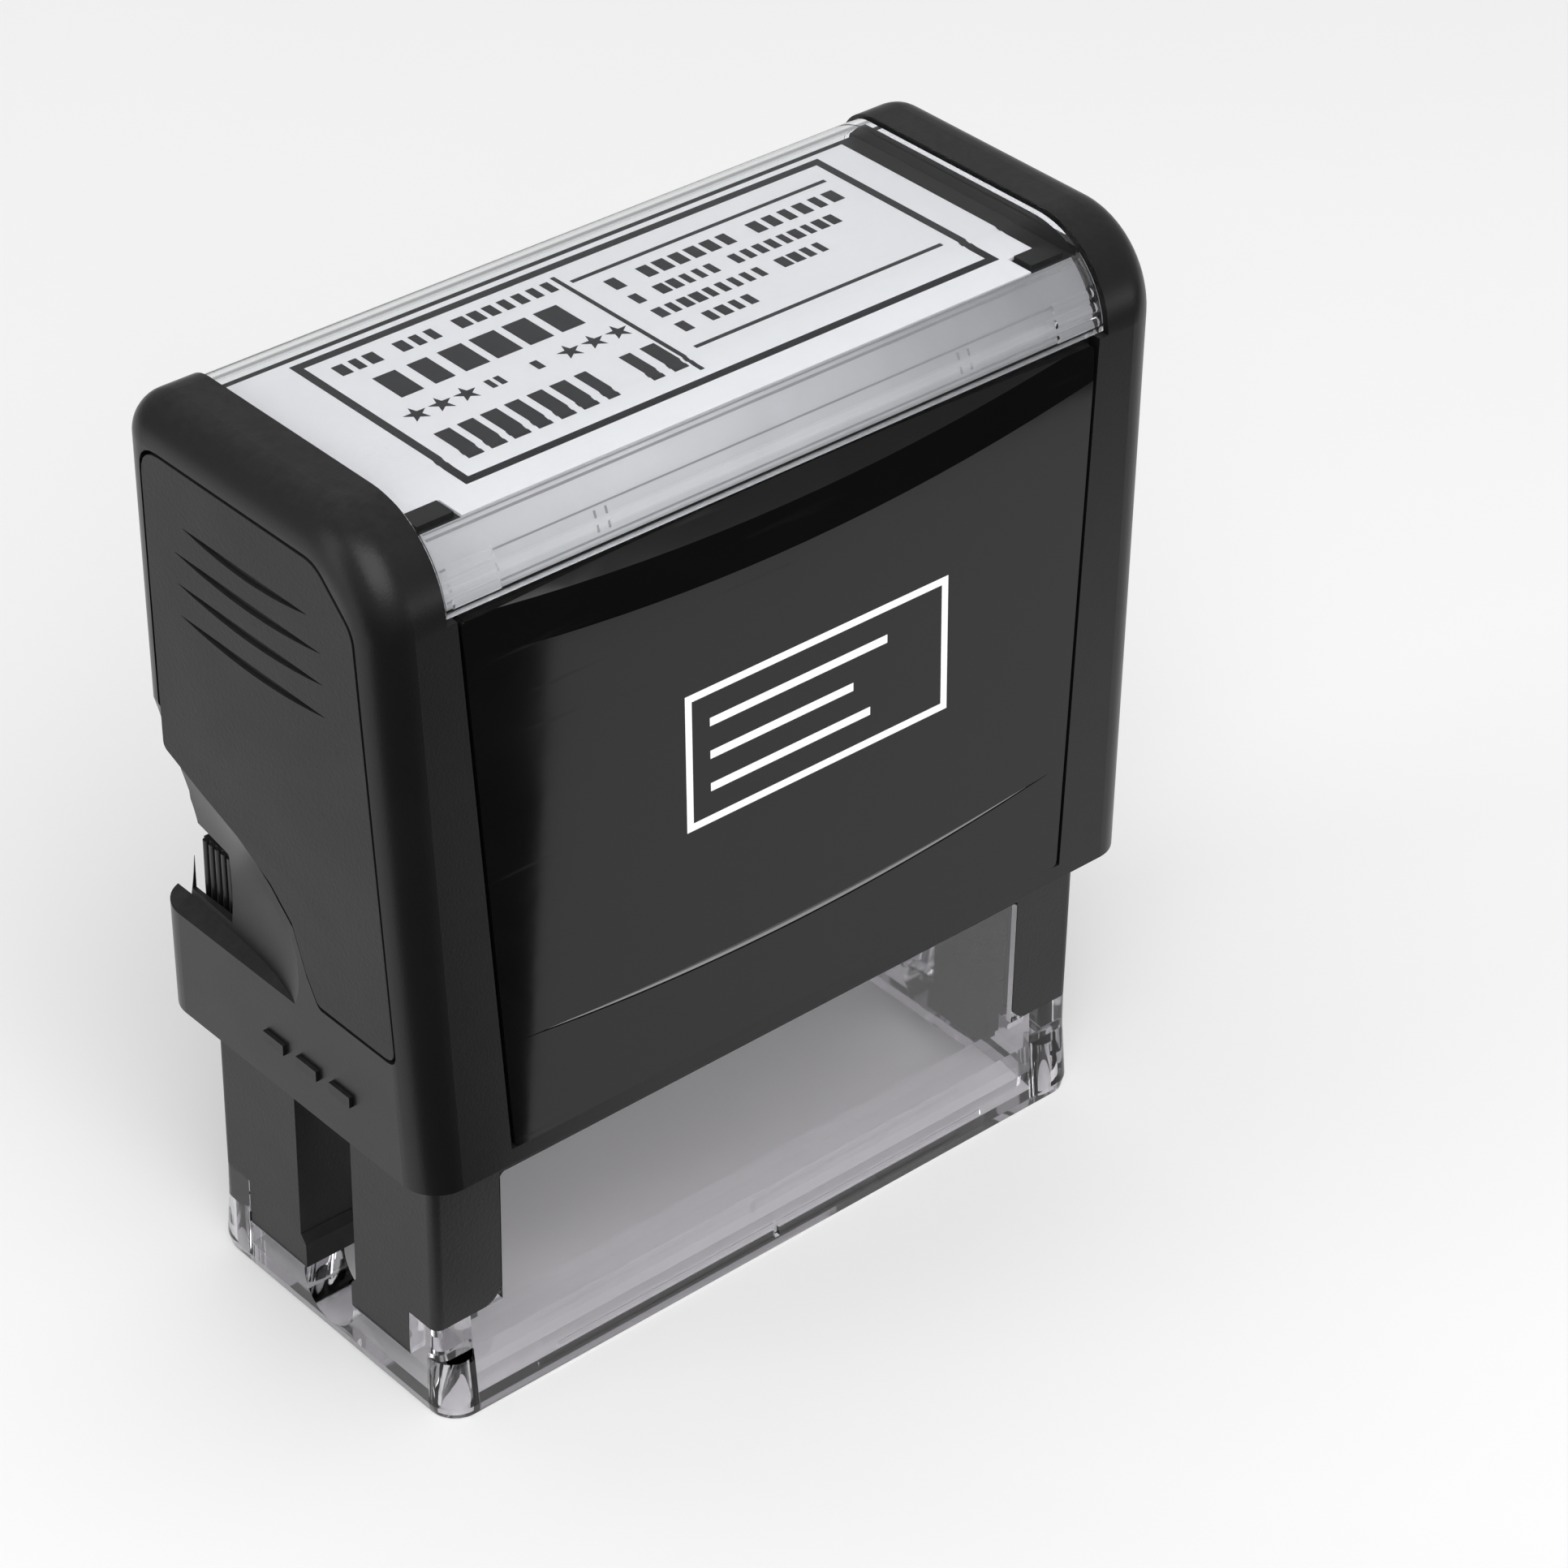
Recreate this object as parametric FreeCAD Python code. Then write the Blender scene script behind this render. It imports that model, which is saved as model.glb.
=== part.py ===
import FreeCAD
import Part
import math
import os

V = FreeCAD.Vector

# Overall sizes, millimetres. X runs along the stamp, front is -Y, up is +Z.
TOTAL_HEIGHT = 101.75
CAP_BOTTOM = 31.0
CAP_HALF_LENGTH_LOW = 45.5
CAP_HALF_LENGTH_TOP = 48.0
CAP_EDGE = 4.0
SHOULDER_Y = 19.36
SHOULDER_Z = 91.6
FRONT_ROUND = 10.2           # wide shoulder above the front plate
BACK_ROUND = 4.2             # tight shoulder at the back
LOWER_FACET = (4000.0, 84.3, 5.0)    # drum radius, lowest height and lean in degrees
UPPER_FACET = (620.0, 89.0, 24.0)
PLATE_KEY_Z = 87.2           # above this the front plate is thicker
RIB_ANGLES = (12.0, 20.5, 29.0)      # grip ribs on the window's front shoulder, degrees
RIB_RADIUS = 0.5
FACE_LEAN = 0.0337
CAP_INNER_X = 43.3
CAP_INNER_Y = 18.2
CEILING = 95.8
BED_TOP = 98.2

AXLE_Z = 32.0
AXLE_R = 2.4
AXLE_BORE_R = 2.45

FRAME_HALF_LENGTH = 42.2
FRAME_HALF_WIDTH = 17.3
FRAME_WALL = 1.6
FRAME_TOP = 57.5
COLUMN_INNER_X = 34.1
LEG_FOOT = 10.8
LEG_TONGUE = 5.5
SLOT_HALF = 4.5
WINDOW_TOP = 26.5

BASE_HALF_LENGTH = 42.3
BASE_HALF_WIDTH = 19.3

DIE_HALF_LENGTH = 32.0
DIE_HALF_WIDTH = 13.0
PAD_UNDERSIDE = 38.6

SPRING_X = 22.0
SPRING_RADIUS = 5.4
SPRING_WIRE = 0.9
SPRING_TURNS = 6.5

PARTS = {}


def box(x0, x1, y0, y1, z0, z1):
    """A box between two corners."""
    return Part.makeBox(x1 - x0, y1 - y0, z1 - z0, V(x0, y0, z0))


def both_x(shape):
    """A shape and its mirror image across the middle plane of the length."""
    return [shape, shape.mirror(V(0, 0, 0), V(1, 0, 0))]


def four(shape):
    """A shape mirrored into all four corners."""
    pair = both_x(shape)
    return pair + [s.mirror(V(0, 0, 0), V(0, 1, 0)) for s in pair]


def round_rect(hx, hy, r, z):
    """A rectangle with rounded corners as a closed wire at height z."""
    k = r * (1 - math.sqrt(0.5))
    edges = []
    edges.append(Part.makeLine(V(-hx + r, -hy, z), V(hx - r, -hy, z)))
    edges.append(Part.Arc(V(hx - r, -hy, z), V(hx - k, -hy + k, z), V(hx, -hy + r, z)).toShape())
    edges.append(Part.makeLine(V(hx, -hy + r, z), V(hx, hy - r, z)))
    edges.append(Part.Arc(V(hx, hy - r, z), V(hx - k, hy - k, z), V(hx - r, hy, z)).toShape())
    edges.append(Part.makeLine(V(hx - r, hy, z), V(-hx + r, hy, z)))
    edges.append(Part.Arc(V(-hx + r, hy, z), V(-hx + k, hy - k, z), V(-hx, hy - r, z)).toShape())
    edges.append(Part.makeLine(V(-hx, hy - r, z), V(-hx, -hy + r, z)))
    edges.append(Part.Arc(V(-hx, -hy + r, z), V(-hx + k, -hy + k, z), V(-hx + r, -hy, z)).toShape())
    return Part.Wire(edges)


def prism(points, direction):
    """A straight prism from a flat outline of points."""
    wire = Part.makePolygon(points + [points[0]])
    return Part.Face(wire).extrude(direction)


def along_x(outline, x0, x1):
    """A prism along X from (y, z) points."""
    return prism([V(x0, y, z) for y, z in outline], V(x1 - x0, 0, 0))


def along_y(outline, y0, y1):
    """A prism along Y from (x, z) points."""
    return prism([V(x, y0, z) for x, z in outline], V(0, y1 - y0, 0))


def soft_outline(points, radii):
    """Rounds the corners of an outline of (u, v) points with short chords."""
    out = []
    n = len(points)
    for i in range(n):
        p = points[i]
        a = points[i - 1]
        b = points[(i + 1) % n]
        r = radii[i]
        if r <= 0:
            out.append(p)
            continue
        la = math.hypot(a[0] - p[0], a[1] - p[1])
        lb = math.hypot(b[0] - p[0], b[1] - p[1])
        ua = ((a[0] - p[0]) / la, (a[1] - p[1]) / la)
        ub = ((b[0] - p[0]) / lb, (b[1] - p[1]) / lb)
        cosine = ua[0] * ub[0] + ua[1] * ub[1]
        half = 0.5 * math.acos(max(-1.0, min(1.0, cosine)))
        reach = min(r / math.tan(half), 0.45 * la, 0.45 * lb)
        start = (p[0] + ua[0] * reach, p[1] + ua[1] * reach)
        end = (p[0] + ub[0] * reach, p[1] + ub[1] * reach)
        for k in range(6):
            t = k / 5.0
            u = (1 - t) ** 2 * start[0] + 2 * t * (1 - t) * p[0] + t * t * end[0]
            v = (1 - t) ** 2 * start[1] + 2 * t * (1 - t) * p[1] + t * t * end[1]
            out.append((u, v))
    return out


# ---- cap envelope ----------------------------------------------------------

def shoulder_points(radius, top, side):
    """Start, middle and end of the shoulder arc that meets the roof and the leaning face."""
    slope = math.sqrt(1.0 + FACE_LEAN * FACE_LEAN)
    centre_z = top - radius
    centre_y = side + FACE_LEAN * (SHOULDER_Z - centre_z) - radius * slope
    start = math.atan(FACE_LEAN)
    middle = 0.5 * (start + 0.5 * math.pi)
    found = []
    for angle in (0.5 * math.pi, middle, start):
        y = centre_y + radius * math.cos(angle)
        found.append((y, centre_z + radius * math.sin(angle)))
    return found


def roof_prism(inset, half):
    """The cap's cross-section extruded along X, drawn in by an even inset.

    The front shoulder is a wide curve and the back one is tight.
    """
    top = TOTAL_HEIGHT - inset
    side = SHOULDER_Y - inset
    low = 25.0
    foot = side + FACE_LEAN * (SHOULDER_Z - low)
    front = [V(0, -y, z) for y, z in shoulder_points(FRONT_ROUND - inset, top, side)]
    back = [V(0, y, z) for y, z in shoulder_points(BACK_ROUND - inset, top, side)]
    edges = [Part.Arc(front[2], front[1], front[0]).toShape()]
    edges.append(Part.makeLine(front[0], back[0]))
    edges.append(Part.Arc(back[0], back[1], back[2]).toShape())
    edges.append(Part.makeLine(back[2], V(0, foot, low)))
    edges.append(Part.makeLine(V(0, foot, low), V(0, -foot, low)))
    edges.append(Part.makeLine(V(0, -foot, low), front[2]))
    body = Part.Face(Part.Wire(edges)).extrude(V(2 * half, 0, 0))
    body.translate(V(-half, 0, 0))
    return body


def cap_envelope():
    """The cap's outside: flared ends, leaning faces, a rounded roof and soft end edges."""
    flare = [(-CAP_HALF_LENGTH_LOW, CAP_BOTTOM), (CAP_HALF_LENGTH_LOW, CAP_BOTTOM),
             (CAP_HALF_LENGTH_TOP, 104.0), (-CAP_HALF_LENGTH_TOP, 104.0)]
    body = roof_prism(0.0, 60).common(along_y(flare, -30, 30))
    rims = []
    for edge in body.Edges:
        xs = [v.Point.x for v in edge.Vertexes]
        zs = [v.Point.z for v in edge.Vertexes]
        if min(zs) < CAP_BOTTOM + 0.01 and max(zs) < CAP_BOTTOM + 0.01:
            continue
        if min(xs) > 40 or max(xs) < -40:
            rims.append(edge)
    return body.makeFillet(CAP_EDGE, rims)


END_PANEL = [(-17.6, 45.2), (-5.8, 45.2), (-4.2, 48.2), (-2.6, 53.0), (0.4, 55.9), (5.4, 58.7),
             (10.9, 60.8), (16.8, 63.3), (15.6, 97.6), (-10.8, 97.6), (-15.8, 92.6)]
END_RADII = [1.4, 1.0, 0, 0, 0, 0, 0, 1.0, 3.0, 3.6, 3.6]


def shrink(points, amount, centre):
    """Moves each point towards a centre by an amount."""
    out = []
    for u, v in points:
        d = math.hypot(u - centre[0], v - centre[1])
        out.append((u + (centre[0] - u) * amount / d, v + (centre[1] - v) * amount / d))
    return out


def lens(u0, u1, v, thick, lift):
    """A slim crescent outline that tapers to a point at both ends."""
    upper = []
    lower = []
    count = 11
    for i in range(count):
        t = i / (count - 1.0)
        u = u0 + (u1 - u0) * t
        bow = 4 * t * (1 - t)
        upper.append((u, v + lift * bow + 0.5 * thick * bow + 0.02))
        lower.append((u, v + lift * bow - 0.5 * thick * bow - 0.02))
    return upper + lower[::-1]


def beyond_end(depth):
    """Everything left of a plane that lies a depth inside the leaning left end."""
    lean = (CAP_HALF_LENGTH_TOP - CAP_HALF_LENGTH_LOW) / (104.0 - CAP_BOTTOM)
    low = depth - CAP_HALF_LENGTH_LOW + lean * 11.0
    high = depth - CAP_HALF_LENGTH_LOW - lean * 79.0
    return along_y([(-70, 20), (low, 20), (high, 110), (-70, 110)], -40, 40)


def beyond_face(depth, side):
    """Everything outside a plane that lies a depth inside a long face."""
    low = SHOULDER_Y + FACE_LEAN * (SHOULDER_Z - 20.0) - depth
    high = SHOULDER_Y - FACE_LEAN * (110.0 - SHOULDER_Z) - depth
    points = [(side * 50, 20), (side * low, 20), (side * high, 110), (side * 50, 110)]
    return along_x(points, -70, 70)


def end_panel_left(envelope):
    """Matte plate let into the left end, with four slim finger grooves."""
    outline = soft_outline(shrink(END_PANEL, 0.45, (0.0, 76.0)), END_RADII)
    plate = envelope.common(along_x(outline, -60, -30)).common(beyond_end(1.5))
    grooves = [(-9.0, 9.6, 91.2), (-10.6, 11.2, 87.9), (-10.6, 11.2, 84.5), (-10.6, 11.2, 81.0)]
    for y0, y1, z in grooves:
        cutter = along_x(lens(y0, y1, z, 1.0, -0.5), -60, -30)
        plate = plate.cut(cutter.common(beyond_end(0.45)))
    return largest(plate)


def largest(shape):
    """The biggest solid of a shape."""
    return sorted(shape.Solids, key=lambda s: s.Volume)[-1]


FRONT_PANEL = [(-35.2, 32.7), (35.2, 32.7), (38.5, 91.5), (-38.5, 91.5)]
BACK_PANEL = [(-36.5, 54.5), (36.5, 54.5), (38.5, 91.5), (-38.5, 91.5)]


def face_panel(envelope, outline, side):
    """Glossy plate let into a long face; side is -1 for the front."""
    rounded = soft_outline(outline, [0.8, 0.8, 0.8, 0.8])
    plate = envelope.common(beyond_face(1.4, side))
    return plate.common(along_y(rounded, -40, 40))


def front_panel(envelope):
    """Front plate that rolls back at the top in two facets, with a slim groove low down."""
    plate = face_panel(envelope, FRONT_PANEL, -1)
    key = envelope.common(beyond_face(2.6, -1)).common(box(-38.0, 38.0, -40, 0, PLATE_KEY_Z, 91.5))
    plate = plate.fuse(key)
    groove = along_y(lens(-33.6, 33.6, 44.6, 0.9, -1.9), -40, -10)
    plate = plate.cut(groove.common(beyond_face(0.45, -1)))
    depth = 0.0
    for facet in (LOWER_FACET, UPPER_FACET):
        plate = plate.cut(facet_tool(facet, depth))
        depth = (UPPER_FACET[1] - LOWER_FACET[1]) * (math.tan(math.radians(LOWER_FACET[2])) - FACE_LEAN)
    return largest(plate.removeSplitter())


def facet_tool(facet, depth):
    """A large leaning drum in front of the plate that shaves a shallow crescent off its top."""
    radius, low, lean = facet
    face = SHOULDER_Y + FACE_LEAN * (SHOULDER_Z - low) - depth
    drum = Part.makeCylinder(radius, 60, V(0, -radius, -30))
    drum.rotate(V(0, 0, 0), V(1, 0, 0), -lean)
    drum.translate(V(0, -face, low))
    return drum.common(box(-60, 60, -40, 0, 80, 93))


def back_panel(envelope):
    """Plain glossy plate on the back, above the cartridge slot."""
    return largest(face_panel(envelope, BACK_PANEL, 1))


def scoop_tools():
    """Finger scoop in the left end: a rounded trough, and the corner it runs out through."""
    radius = 36.6
    centre = V(-81.0, 8.0, 47.0)
    ball = Part.makeSphere(radius, centre)
    direction = V(0.10, 0.93, 0.36)
    trough = Part.makeCylinder(radius, 30, centre, direction)
    tool = ball.fuse(trough)
    lip = along_y([(-80, 26.5), (-40.0, 46.5), (-40.0, 90), (-80, 90)], -20, 30)
    tool = tool.common(lip)
    corner = along_x([(17.5, 43.7), (30, 43.7), (30, 62.5), (19.6, 60.6), (17.5, 56.5)], -60, -40.4)
    tool = tool.common(box(-60, -43.1, -8, 30, 40, 80))
    return [tool, corner]


def cap_shell(envelope):
    """Hollow black cap that carries the panels, the bed for the card and the band below."""
    shell = envelope
    shell = shell.cut(box(-CAP_INNER_X, CAP_INNER_X, -CAP_INNER_Y, CAP_INNER_Y, 20, 86))
    shell = shell.cut(box(-CAP_INNER_X, CAP_INNER_X, -14.4, 14.4, 80, CEILING))
    # The mouth is wider, to pass over the splayed foot at the end of the stroke.
    shell = shell.cut(box(-CAP_INNER_X, CAP_INNER_X, -19.0, 19.0, 20, 34.6))
    # Seat of the clear window between the two raised ends.
    seat = box(-40.1, 40.1, -30, 30, 92.0, 110).cut(roof_prism(1.6, 60))
    shell = shell.cut(seat)
    shell = shell.cut(box(-40.1, 40.1, -30, 30, BED_TOP, 110))
    # Recesses for the two end plates.
    outline = soft_outline(END_PANEL, END_RADII)
    recess = along_x(outline, -60, -30).common(beyond_end(1.5))
    for tool in both_x(recess):
        shell = shell.cut(tool)
    # Recesses for the two long glossy plates, with a thin shadow gap at the sides.
    for outline, side in ((FRONT_PANEL, -1), (BACK_PANEL, 1)):
        wider = [(x + (0.45 if x > 0 else -0.45), z) for x, z in outline]
        wider = [(x, z + (0.5 if z > 90 else 0.0)) for x, z in wider]
        shell = shell.cut(along_y(wider, -40, 40).common(beyond_face(1.4, side)))
    shell = shell.cut(box(-38.3, 38.3, -40, 0, PLATE_KEY_Z - 0.2, 92.0).common(beyond_face(2.6, -1)))
    # Scoops, thumb windows and the long slot that the cartridge leaves through.
    for piece in scoop_tools():
        for tool in both_x(piece):
            shell = shell.cut(tool)
    for tool in both_x(box(-50, -43, 10.4, 17.4, 45.2, 53.2)):
        shell = shell.cut(tool)
    shell = shell.cut(box(-43.2, 43.2, 10, 30, 37.0, 51.6))
    # Hooks on the corners of the bed that hold the window.
    for hook in both_x(box(34.8, 38.9, -13.6, -11.2, BED_TOP - 0.2, BED_TOP + 0.6)):
        shell = shell.fuse(hook)
    # Three raised bars on each end's band.
    for k in range(3):
        bar = box(-46.15, -45.0, -10.2 + 5.2 * k, -7.0 + 5.2 * k, 36.2, 37.4)
        for part in both_x(bar):
            shell = shell.fuse(part)
    return largest(shell.removeSplitter())


# ---- clear window and card -------------------------------------------------

def index_window():
    """Clear cover over the card: flat top, rounded shoulders and ribbed grips."""
    cover = roof_prism(0.4, 39.8).cut(roof_prism(1.35, 60))
    cover = cover.common(box(-60, 60, -30, 30, 92.4, 110))
    bend_y = SHOULDER_Y - FRONT_ROUND
    bend_z = TOTAL_HEIGHT - FRONT_ROUND
    reach = FRONT_ROUND - 0.48
    for angle in RIB_ANGLES:
        turn = math.radians(angle)
        place = V(33.8, -bend_y - reach * math.cos(turn), bend_z + reach * math.sin(turn))
        for part in both_x(Part.makeCylinder(RIB_RADIUS, 5.2, place, V(1, 0, 0))):
            cover = cover.fuse(part)
    return largest(cover.removeSplitter())


def label_card():
    """Paper card on the bed, cut round at one corner."""
    card = box(-38.8, 37.6, -10.9, 16.4, BED_TOP, BED_TOP + 0.3)
    strip = box(-34.3, 34.3, -14.1, 16.4, BED_TOP, BED_TOP + 0.3)
    return card.fuse(strip).removeSplitter()


# ---- frame and clear foot --------------------------------------------------

def leg_tools():
    """What is cut from one corner of the frame below the window line."""
    tools = []
    tools.append(box(30, 60, 13.0, 30, -5, LEG_FOOT))
    tools.append(box(30, 60, -5, 13.1, -5, LEG_TONGUE))
    tools.append(box(30, 60, -1, 3.7, -5, 100))
    tools.append(box(30, 60, -1, SLOT_HALF, 9.3, 100))
    tools.append(along_x([(3.6, 8.2), (SLOT_HALF, 9.4), (3.6, 9.4)], 30, 60))
    return tools


def frame():
    """Black inner frame: four box legs, guide slots in the ends and a spring deck."""
    outer = Part.Face(round_rect(FRAME_HALF_LENGTH, FRAME_HALF_WIDTH, 1.0, 0)).extrude(V(0, 0, FRAME_TOP))
    body = outer
    hx = FRAME_HALF_LENGTH - FRAME_WALL
    hy = FRAME_HALF_WIDTH - FRAME_WALL
    # The middle is open from the bottom to the deck.
    body = body.cut(box(-COLUMN_INNER_X, COLUMN_INNER_X, -hy, hy, -5, 55.5))
    body = body.cut(box(-hx, hx, -hy, hy, 37.7, 55.5))
    # Front and back windows with rounded corners.
    gate = soft_outline([(-34.1, -9), (34.1, -9), (34.1, WINDOW_TOP), (-34.1, WINDOW_TOP)],
                        [0, 0, 1.0, 1.0])
    body = body.cut(along_y(gate, -30, 30))
    for tool in leg_tools():
        for part in four(tool):
            body = body.cut(part)
    # Hollow legs, open at the foot.
    pocket = box(COLUMN_INNER_X + FRAME_WALL, hx, SLOT_HALF + 1.6, hy, -5, 35.8)
    for part in four(pocket):
        body = body.cut(part)
    # Round off the inner lower corner of each leg's face.
    nib = box(34.0, 36.4, 15.0, 20.0, LEG_FOOT - 0.1, LEG_FOOT + 2.3)
    nib = nib.cut(Part.makeCylinder(2.3, 10, V(36.4, 12, LEG_FOOT + 2.3), V(0, 1, 0)))
    for part in four(nib):
        body = body.cut(part)
    # Way out for the cartridge and its end grips, through the back wall.
    body = body.cut(box(-39.5, 39.5, 10, 30, 37.7, 48.4))
    for part in both_x(box(39.0, 60, 9.6, 30, 43.0, 51.6)):
        body = body.cut(part)
    # Upper rails that keep the cartridge level.
    for part in four(box(35.6, 38.6, 5.2, 15.7, 48.0, 49.6)):
        body = body.fuse(part)
    for part in four(box(38.6, 40.8, 5.2, 15.7, 48.0, 49.6).cut(box(38, 60, 9.6, 30, 40, 51.6))):
        body = body.fuse(part)
    # Bosses that centre the springs.
    for part in both_x(Part.makeCylinder(4.1, 2.5, V(SPRING_X, 0, FRAME_TOP))):
        body = body.fuse(part)
    return largest(body.removeSplitter())


def clear_base():
    """Clear foot: a splayed rim, corner blocks, and panes that fill the frame's windows."""
    w0 = round_rect(BASE_HALF_LENGTH - 0.2, BASE_HALF_WIDTH - 0.2, 3.0, 0)
    w1 = round_rect(BASE_HALF_LENGTH + 0.1, BASE_HALF_WIDTH, 3.2, 1.2)
    w2 = round_rect(BASE_HALF_LENGTH, 17.7, 1.6, 7.0)
    w3 = round_rect(FRAME_HALF_LENGTH, FRAME_HALF_WIDTH, 1.0, LEG_FOOT)
    foot = Part.makeLoft([w0, w1], True, True)
    foot = foot.fuse(Part.makeLoft([w1, w2], True, True))
    foot = foot.fuse(Part.makeLoft([w2, w3], True, True))
    foot = foot.cut(box(-37.4, 37.4, -15.8, 15.8, -5, 50))
    # Ends are low between the corner blocks, where the frame's tongues come down.
    foot = foot.cut(box(-60, 60, -13.1, 13.1, LEG_TONGUE, 50))
    # Panes that fill the frame's windows.
    pane = box(-34.0, 34.0, -17.3, -15.8, 7.0, WINDOW_TOP - 0.05)
    for part in (pane, pane.mirror(V(0, 0, 0), V(0, 1, 0))):
        foot = foot.fuse(part)
    # Round notch in each end that the carrier's arms come down into.
    for part in both_x(Part.makeCylinder(4.0, 20, V(34, 0, 5.2), V(1, 0, 0))):
        foot = foot.cut(part)
    # Positioning line and centre mark on the front and back of the rim.
    line = box(-28.5, 28.5, -30, -18.75, 2.4, 3.0)
    tick = box(-0.3, 0.3, -30, -18.75, 1.4, 4.2)
    for tool in (line, tick):
        for part in (tool, tool.mirror(V(0, 0, 0), V(0, 1, 0))):
            foot = foot.cut(part)
    # Blind round holes up into the four corners.
    for part in four(Part.makeCylinder(1.7, 6.0, V(39.2, 16.2, -0.01))):
        foot = foot.cut(part)
    return largest(foot.removeSplitter())


# ---- cartridge -------------------------------------------------------------

def cartridge_case():
    """Ink cartridge case, open below, with a ribbed finger grip at each end."""
    case = box(-39.0, 39.0, -15.0, 15.4, 38.0, 47.6)
    case = case.cut(box(-34.0, 34.0, -14.4, 14.4, 30, 43.6))
    grip = box(38.8, 42.0, 10.2, 16.9, 43.4, 45.0)
    plate = box(41.0, 42.45, 10.2, 16.9, 43.4, 51.1)
    grip = grip.fuse(plate)
    for k in range(7):
        y = 10.6 + 0.98 * k
        rib = Part.makeCylinder(0.38, 7.4, V(42.45, y, 43.5), V(0, 0, 1))
        grip = grip.fuse(rib)
    for part in both_x(grip):
        case = case.fuse(part)
    return largest(case.removeSplitter())


def ink_pad():
    """Foam that holds the ink."""
    return box(-33.8, 33.8, -14.2, 14.2, PAD_UNDERSIDE + 0.5, 43.6)


def pad_cover():
    """Woven face of the pad."""
    return box(-33.8, 33.8, -14.2, 14.2, PAD_UNDERSIDE, PAD_UNDERSIDE + 0.5)


# ---- carrier ---------------------------------------------------------------

def plate_carrier():
    """Carrier that turns over: plate, end cheeks, hubs and pivot pins."""
    plate = box(-33.0, 33.0, -13.4, 13.4, AXLE_Z - 0.6, AXLE_Z + 2.0)
    for part in both_x(box(31.2, 33.4, -6.0, 6.0, AXLE_Z - 4.6, AXLE_Z + 2.0)):
        plate = plate.fuse(part)
    for y in (-9.0, -3.0, 3.0, 9.0):
        plate = plate.fuse(box(-31.5, 31.5, y - 0.7, y + 0.7, AXLE_Z - 2.6, AXLE_Z))
    for part in both_x(Part.makeCylinder(3.2, 6.0, V(33.0, 0, AXLE_Z), V(1, 0, 0))):
        plate = plate.fuse(part)
    for part in both_x(Part.makeCylinder(AXLE_R, 3.2, V(38.9, 0, AXLE_Z), V(1, 0, 0))):
        plate = plate.fuse(part)
    return largest(plate.removeSplitter())


def adhesive_foam():
    """Foam tape between the carrier and the rubber."""
    return box(-32.4, 32.4, -13.2, 13.2, AXLE_Z + 2.0, AXLE_Z + 3.2)


def rubber_die():
    """Rubber text plate with a raised border, bars and dots."""
    top = AXLE_Z + 5.0
    plate = box(-DIE_HALF_LENGTH, DIE_HALF_LENGTH, -DIE_HALF_WIDTH, DIE_HALF_WIDTH,
                AXLE_Z + 3.2, top - 0.8)
    ring = box(-DIE_HALF_LENGTH, DIE_HALF_LENGTH, -DIE_HALF_WIDTH, DIE_HALF_WIDTH, top - 0.8, top)
    ring = ring.cut(box(-31.0, 31.0, -12.0, 12.0, top - 0.9, top + 0.1))
    die = plate.fuse(ring)
    for k in range(4):
        half = 26.0 - 5.0 * (k % 2)
        y = 7.8 - 5.2 * k
        die = die.fuse(box(-half, half, y - 0.9, y + 0.9, top - 0.8, top))
    return largest(die.removeSplitter())


# ---- yoke and springs ------------------------------------------------------

def yoke():
    """Bow fixed under the cap's ceiling; its arms hold the carrier's pivots."""
    bow = box(-42.2, 42.2, -6.5, 6.5, CEILING - 3.0, CEILING)
    arm = box(39.4, 42.2, -3.4, 3.4, AXLE_Z, CEILING)
    arm = arm.fuse(Part.makeCylinder(3.4, 2.8, V(39.4, 0, AXLE_Z), V(1, 0, 0)))
    arm = arm.cut(Part.makeCylinder(AXLE_BORE_R, 5, V(38.5, 0, AXLE_Z), V(1, 0, 0)))
    for part in both_x(arm):
        bow = bow.fuse(part)
    for part in both_x(Part.makeCylinder(4.1, 2.5, V(SPRING_X, 0, CEILING - 5.5))):
        bow = bow.fuse(part)
    return largest(bow.removeSplitter())


def spring(x):
    """Compression spring between the frame's deck and the yoke."""
    z0 = FRAME_TOP + SPRING_WIRE / 2
    height = CEILING - 3.0 - SPRING_WIRE / 2 - z0
    path = Part.makeHelix(height / SPRING_TURNS, height, SPRING_RADIUS)
    section = Part.Wire(Part.makeCircle(SPRING_WIRE / 2, V(SPRING_RADIUS, 0, 0), V(0, 1, 0)))
    coil = Part.Wire(path).makePipeShell([section], True, True)
    coil.translate(V(x, 0, z0))
    return coil


def build():
    """Makes every piece."""
    envelope = cap_envelope()
    left = end_panel_left(envelope)
    PARTS["clear_base"] = clear_base()
    PARTS["frame"] = frame()
    PARTS["cartridge_case"] = cartridge_case()
    PARTS["ink_pad"] = ink_pad()
    PARTS["pad_cover"] = pad_cover()
    PARTS["cap_shell"] = cap_shell(envelope)
    PARTS["end_panel_left"] = left
    PARTS["end_panel_right"] = left.mirror(V(0, 0, 0), V(1, 0, 0))
    PARTS["front_panel"] = front_panel(envelope)
    PARTS["back_panel"] = back_panel(envelope)
    PARTS["yoke"] = yoke()
    PARTS["label_card"] = label_card()
    PARTS["spring_left"] = spring(-SPRING_X)
    PARTS["spring_right"] = spring(SPRING_X)
    PARTS["index_window"] = index_window()
    PARTS["plate_carrier"] = plate_carrier()
    PARTS["adhesive_foam"] = adhesive_foam()
    PARTS["rubber_die"] = rubber_die()


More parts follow.
